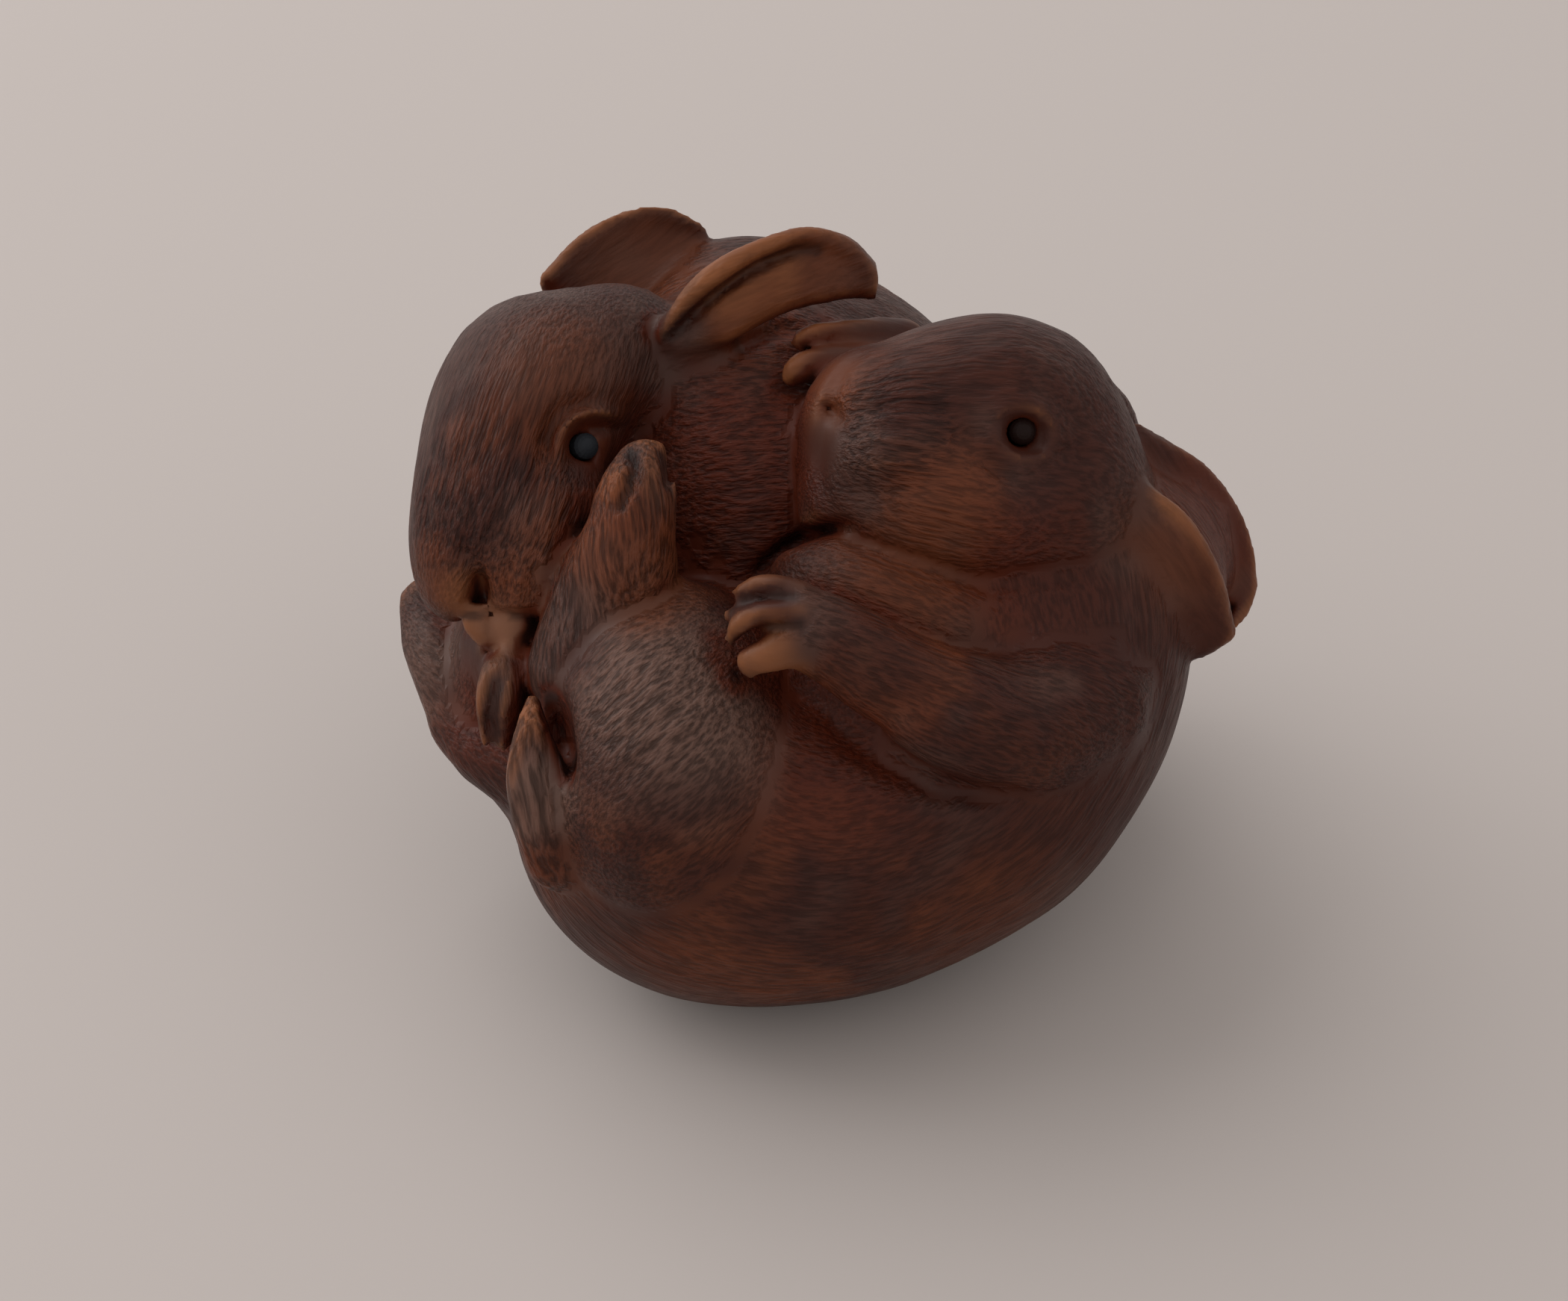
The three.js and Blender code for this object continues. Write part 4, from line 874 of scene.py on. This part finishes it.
# Places on the drawn form that handling has worn or stain has reddened, pale grey patches of painted sheen,
# and dark brown patches of painted shade: the colour, how much of it, the middle and the radius in mm.
PATCHES = [
    (WORN_ORANGE, 0.55, (-16.9, 0.2, 8.8), 1.5),
    (WARM_BROWN, 0.6, (-17.8, 1.2, 8), 2),
    (WARM_BROWN, 0.8, (-14.2, 0.4, 9.5), 2.4),
    (TOOTH_BROWN, 0.95, (-15.4, -1.45, 8.2), 1.7),
    (WORN_ORANGE, 0.5, (-9.7, 4.9, 13.5), 0.9),
    (DEEP_RED, 0.8, (-13.4, -3.6, 8), 1.9),
    (DEEP_RED, 0.8, (-10.2, 6.9, 9.3), 1.6),
    (WARM_BROWN, 0.6, (-12.6, 2.6, 10), 2.6),
    (DEEP_RED, 0.7, (-15.7, -5, 5), 3),
    (WARM_BROWN, 0.8, (0, 9, 11.5), 2.2),
    (WARM_BROWN, 0.7, (4.5, 4.4, 12.8), 3.2),
    (WARM_BROWN, 0.6, (3, 0.6, 12), 4.5),
    (DEEP_RED, 0.6, (9, 1, 12), 3.5),
    (WARM_BROWN, 0.85, (1.5, -3.6, 15), 3.4),
    (WORN_ORANGE, 0.6, (-2.6, -2.6, 15.6), 1.8),
    (DEEP_RED, 0.5, (0.5, -6.4, 12.6), 4.5),
    (WARM_BROWN, 0.6, (15.6, 2.4, 9), 4.4),
    (WARM_BROWN, 0.55, (18.6, 2.4, 4.5), 4),
    (WARM_BROWN, 0.8, (-2.6, 14.6, 7), 5),
    (WORN_ORANGE, 0.5, (-4.6, 15.2, 8.4), 3),
    (WARM_BROWN, 0.6, (-9.6, 16.6, -1), 4.5),
    (DEEP_RED, 0.75, (-3.6, 6.5, 6.5), 6),
    (WARM_BROWN, 0.5, (-5.6, -16, 7), 5),
    (WARM_BROWN, 0.5, (-12.6, -11.4, 9), 3.5),
    (WARM_BROWN, 0.4, (6.4, -14.2, 6), 6),
    # Pale grey-brown patches of painted sheen on the haunch and hind foot.
    (SHEEN_PALE_BROWN, 0.8, (-7.2, -4.6, 14.4), 4.6),
    (SHEEN_PALE_BROWN, 0.55, (-9.8, 0.2, 13), 2.6),
    (WARM_BROWN, 0.7, (-8.6, 2, 13), 3.4),
    # The dark brown patches below are painted shade: over the front rabbit's right side, skull, neck and
    # far ear, away from the light, and on its forearm and muzzle.
    (DARK_BROWN, 0.7, (11, 8, 10), 5.5),
    (DARK_BROWN, 0.8, (1.6, -2.4, 16), 3),
    (DEEP_RED, 0.8, (18.4, 3, 4.5), 4.5),
    (DARK_BROWN, 0.4, (18, 2, 6), 4.5),
    (DARK_BROWN, 0.5, (6.5, 10.5, 9), 4),
    (DARK_BROWN, 0.6, (12, -1, 11), 4),
    (DARK_BROWN, 0.7, (13.5, -6, 8), 7),
    (DARK_BROWN, 0.7, (3.6, 8.6, 13), 2.6),
    # Pale grey-brown patches of painted sheen on the far foot and tail.
    (SHEEN_PALE_BROWN, 0.6, (-18.2, -2.8, 2.6), 3),
    (SHEEN_PALE_BROWN, 0.8, (-13.4, -8.6, 12), 2.4),
    (WARM_BROWN, 0.5, (-12.6, 10.6, 10), 4),
]
PATCH_FADE = (0.4, 1.3)
PATCH_RAGGED = 0.3
# How closed in a place is, is felt at these distances in mm. Each counts for MOST_HOLLOW at most.
HOLLOW_DISTANCES = (0.7, 1.8, 4)
MOST_HOLLOW = 1.5
# How proud a place stands is its height in mm over the form eased by this many passes.
EASING_PASSES = 14
# Two noises mottle the stain: their share, spacing in mm and seed. The mottle also shifts the wear.
MOTTLES = [(1, 3.5, 21), (0.6, 1.3, 22)]
MOTTLED_WEAR = 0.06
# Each wash of colour: how much of it at most, and the two values between which it comes in, of the
# mottle, of minus the mottle, or of how closed in or how proud a place is.
# The grey wash, on the open forms only, is partly the wood's patchy tone and partly painted sheen.
SHEEN_GREY_WASH = (0.7, -0.4, 1.1)
WARM_WASH = (0.5, 0, 1.2)
RED_WASH = (0.8, 0.35, 0.75)
# The black wash is painted shade: nearly black where a place is closed in.
SHADE_BLACK_WASH = (0.85, 0.75, 1.15)
WORN_WASH = (0.75, 0.14, 0.42)
CLOSED_WOOD = (0.3, 0.6)
CUT_STRENGTH = 0.6
CUT_FADE = (0.2, 1)


def mixed(colours, other, share):
    """The colours, moved towards another by a share at each point."""
    return colours + (np.asarray(other) - colours) * share[:, None]


def wash(follows, most, low, high):
    """How much of a colour there is: most, times the rise of what it follows from low to high."""
    return most * rise(follows, low, high)


def hollowness(at, out):
    """How closed in a place is: one less the field over the distance, as the mean of the distances."""
    total = np.zeros(len(at))
    for distance in HOLLOW_DISTANCES:
        reached = field_at(form_steps, at + distance * out)
        total += np.clip(1 - reached / distance, 0, MOST_HOLLOW) / len(HOLLOW_DISTANCES)
    return total


eased = formed_points
for _ in range(EASING_PASSES):
    eased = mean_of_neighbours(eased, wood_faces)
proud = np.einsum("ij,ij->i", formed_points - eased, normals)
closed_in = hollowness(formed_points, normals)
mottle = np.zeros(len(formed_points))
for share, spacing, seed in MOTTLES:
    mottle += share * lattice_noise(formed_points / spacing, seed)
worn = proud + MOTTLED_WEAR * mottle
open_wood = 1 - rise(closed_in, *CLOSED_WOOD)
wood_colour = np.tile(np.asarray(DARK_BROWN), (len(formed_points), 1))
wood_colour = mixed(wood_colour, SHEEN_GREY_BROWN, open_wood * wash(mottle, *SHEEN_GREY_WASH))
wood_colour = mixed(wood_colour, WARM_BROWN, wash(-mottle, *WARM_WASH))
for colour, strength, middle, radius in PATCHES:
    gap = length_of(formed_points - middle) / radius + PATCH_RAGGED * mottle
    wood_colour = mixed(wood_colour, colour, strength * (1 - rise(gap, *PATCH_FADE)))
wood_colour = mixed(wood_colour, DEEP_RED, wash(closed_in, *RED_WASH))
wood_colour = mixed(wood_colour, SHADE_BLACK, wash(closed_in, *SHADE_BLACK_WASH))
wood_colour = mixed(wood_colour, WORN_ORANGE, open_wood * wash(worn, *WORN_WASH))
for path, width in SHADED_CUTS:
    gap = field_at([limb(path, [width / 2] * len(path))], formed_points) / width
    wood_colour = mixed(wood_colour, SHADE_BLACK, CUT_STRENGTH * (1 - rise(gap, *CUT_FADE)))

# The wood: its mesh and material
# The mesh carries the stain with its painted shade and sheen, the lie of the hair and the amount of it at
# each point. In the material, the finest strokes are noise along that lie, as darker and lighter tone,
# depth
# and gloss: the darker tone partly painted shade, the lighter one a painted glint.
FULL_HAIR = 0.08
FINE_SCALE = 1.45
FINE_DETAIL = 2.5
FINE_DEPTH = 0.2
# The tone of the finest strokes: darker in their furrows, partly stain and partly painted shade, and
# lighter grey on their ridges, a painted glint.
FURROW_SHADE_TONE = (0.45, 0.4, 0.37, 1)
RIDGE_GLINT_TONE = (1.14, 1.05, 1, 1)
FURROW_SHADE_UP_TO = 0.39
RIDGE_GLINT_FROM = 0.6
WOOD_ROUGHNESS = (0.6, 0.27)
WOOD_SPECULAR = 0.15


def mesh_of(name, points, faces):
    """A smooth mesh from whole arrays of points in mm and faces of four corners."""
    mesh = bpy.data.meshes.new(name)
    mesh.vertices.add(len(points))
    mesh.vertices.foreach_set("co", (points * MM).astype(np.float32).ravel())
    mesh.loops.add(faces.size)
    mesh.loops.foreach_set("vertex_index", faces.astype(np.int32).ravel())
    mesh.polygons.add(len(faces))
    mesh.polygons.foreach_set("loop_start", np.arange(0, faces.size, faces.shape[1], dtype=np.int32))
    mesh.polygons.foreach_set("use_smooth", np.ones(len(faces), bool))
    mesh.update(calc_edges=True)
    return mesh


def linked(name, data):
    """An object with this data, in the scene."""
    thing = bpy.data.objects.new(name, data)
    bpy.context.collection.objects.link(thing)
    return thing


def new_material(name):
    """A material and its Principled shader."""
    material = bpy.data.materials.new(name)
    material.use_nodes = True
    return material, material.node_tree.nodes["Principled BSDF"]


def wood_material():
    """The stain times the tone of the finest strokes, by the amount of hair: painted shade in their furrows
    and a painted glint on their ridges. The strokes' noise is also their height, times the amount of hair,
    and lowers the roughness."""
    material, shader = new_material("dark stained wood")
    nodes = material.node_tree.nodes
    links = material.node_tree.links
    colour = nodes.new("ShaderNodeAttribute")
    colour.attribute_name = "stain_and_painted_light"
    lie = nodes.new("ShaderNodeAttribute")
    lie.attribute_name = "lie"
    amount = nodes.new("ShaderNodeAttribute")
    amount.attribute_name = "hair"
    strokes = nodes.new("ShaderNodeTexNoise")
    strokes.inputs["Scale"].default_value = FINE_SCALE
    strokes.inputs["Detail"].default_value = FINE_DETAIL
    ramp = nodes.new("ShaderNodeValToRGB")
    dark, light = ramp.color_ramp.elements
    dark.position = FURROW_SHADE_UP_TO
    light.position = RIDGE_GLINT_FROM
    dark.color = FURROW_SHADE_TONE
    light.color = RIDGE_GLINT_TONE
    stroke_shade_and_glint = nodes.new("ShaderNodeMix")
    stroke_shade_and_glint.data_type = "RGBA"
    stroke_shade_and_glint.blend_type = "MULTIPLY"
    height = nodes.new("ShaderNodeMath")
    height.operation = "MULTIPLY"
    gloss = nodes.new("ShaderNodeMapRange")
    gloss.inputs["To Min"].default_value = WOOD_ROUGHNESS[0]
    gloss.inputs["To Max"].default_value = WOOD_ROUGHNESS[1]
    bump = nodes.new("ShaderNodeBump")
    bump.inputs["Strength"].default_value = 1
    bump.inputs["Distance"].default_value = FINE_DEPTH * MM
    # A Mix node of colours has its factor at 0, its colours at 6 and 7, and its result at 2.
    links.new(lie.outputs["Vector"], strokes.inputs["Vector"])
    links.new(strokes.outputs["Fac"], ramp.inputs["Fac"])
    links.new(amount.outputs["Fac"], stroke_shade_and_glint.inputs[0])
    links.new(colour.outputs["Color"], stroke_shade_and_glint.inputs[6])
    links.new(ramp.outputs["Color"], stroke_shade_and_glint.inputs[7])
    links.new(stroke_shade_and_glint.outputs[2], shader.inputs["Base Color"])
    links.new(strokes.outputs["Fac"], gloss.inputs["Value"])
    links.new(gloss.outputs["Result"], shader.inputs["Roughness"])
    links.new(strokes.outputs["Fac"], height.inputs[0])
    links.new(amount.outputs["Fac"], height.inputs[1])
    links.new(height.outputs["Value"], bump.inputs["Height"])
    links.new(bump.outputs["Normal"], shader.inputs["Normal"])
    shader.inputs["Specular IOR Level"].default_value = WOOD_SPECULAR
    return material


# No fine strokes where a face lies in two rows of the hair, because its lie jumps there.
fine_hair = np.clip(hair_depth / FULL_HAIR, 0, 1)
fine_hair[wood_faces[np.ptp(hair_row[wood_faces], axis=1) > 0]] = 0

wood_mesh = mesh_of("carved_rabbits", wood_points, wood_faces)
stain_and_painted_light = wood_mesh.attributes.new("stain_and_painted_light", "FLOAT_COLOR", "POINT")
opaque_colour = np.column_stack([wood_colour, np.ones(len(wood_colour))])
stain_and_painted_light.data.foreach_set("color", opaque_colour.astype(np.float32).ravel())
lie = wood_mesh.attributes.new("lie", "FLOAT_VECTOR", "POINT")
lie.data.foreach_set("vector", hair_lie.astype(np.float32).ravel())
hair = wood_mesh.attributes.new("hair", "FLOAT", "POINT")
hair.data.foreach_set("value", fine_hair.astype(np.float32))
wood_mesh.materials.append(wood_material())
wood = linked("carved_rabbits", wood_mesh)
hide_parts("carving")
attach(wood, "root")

# The eyes
# Pins of dark horn let into sockets in the wood, with a domed front that handling has dulled. They are
# the frame's own solids, with their finish: the rear rabbit's are black horn with a painted bluish grey
# reflection, the front one's brown.
REAR_HORN_AND_REFLECTION = (0.024, 0.027, 0.032, 1)
FRONT_HORN = (0.012, 0.005, 0.004, 1)
REAR_HORN_ROUGHNESS = 0.5
FRONT_HORN_ROUGHNESS = 0.42
DULL_SPECULAR = 0.1


def plain_material(name, colour, roughness):
    """One colour and one roughness, with hardly any shine."""
    material, shader = new_material(name)
    shader.inputs["Base Color"].default_value = colour
    shader.inputs["Roughness"].default_value = roughness
    shader.inputs["Specular IOR Level"].default_value = DULL_SPECULAR
    return material


black_horn = plain_material("dull black horn", REAR_HORN_AND_REFLECTION, REAR_HORN_ROUGHNESS)
brown_horn = plain_material("brown rubbed horn", FRONT_HORN, FRONT_HORN_ROUGHNESS)
for name in EYE_SEATS:
    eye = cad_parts[name]
    eye.data.materials.clear()
    eye.data.materials.append(brown_horn if name.startswith("front") else black_horn)
    eye.data.shade_smooth()

# The table top, the light and the camera
# Pale warm grey paper under a large soft light from above, seen at the slant of the drawn face.
TABLE_SIZE = 1.2
PAPER = (0.515, 0.465, 0.44, 1)
PAPER_ROUGHNESS = 0.9
AIM = Vector((0, 0, 0.015))
# Each light: its name, its place and size in metres, and its power in watts.
LIGHTS = [
    ("soft top light", (-0.4, 0.34, 0.53), 0.85, 3),
    ("soft left light", (-0.55, 0.1, 0.25), 0.4, 0.6),
]
ROOM_COLOUR = (1, 0.97, 0.95, 1)
ROOM_STRENGTH = 0.68
# The camera's place on the carver's drawing and its lens and sensor, in mm.
VIEWPOINT = np.array([-2.31, -2.37, 128])
LENS = 60
SENSOR = 36
NEAREST_SEEN = 0.01


def area_light(name, place, size, watts):
    """A square light at a place, turned towards AIM."""
    light = bpy.data.lights.new(name, "AREA")
    light.size = size
    light.energy = watts
    lamp = linked(name, light)
    lamp.location = place
    lamp.rotation_euler = (AIM - Vector(place)).to_track_quat("-Z", "Y").to_euler()


half = TABLE_SIZE / 2
corners = [(-half, -half, 0), (half, -half, 0), (half, half, 0), (-half, half, 0)]
table_mesh = bpy.data.meshes.new("table_top")
table_mesh.from_pydata(corners, [], [(0, 1, 2, 3)])
table_mesh.materials.append(plain_material("pale paper", PAPER, PAPER_ROUGHNESS))
table = linked("table_top", table_mesh)

for light in LIGHTS:
    area_light(*light)
world = bpy.data.worlds.new("studio")
bpy.context.scene.world = world
world.use_nodes = True
room = world.node_tree.nodes["Background"]
room.inputs["Color"].default_value = ROOM_COLOUR
room.inputs["Strength"].default_value = ROOM_STRENGTH

lens = bpy.data.cameras.new("camera")
lens.lens = LENS
lens.sensor_width = SENSOR
lens.clip_start = NEAREST_SEEN
camera = linked("camera", lens)
camera.location = Vector((lean @ VIEWPOINT + shift) * MM)
camera.rotation_euler = (LEAN, 0, 0)
bpy.context.scene.camera = camera
bpy.context.scene.view_settings.view_transform = "Standard"
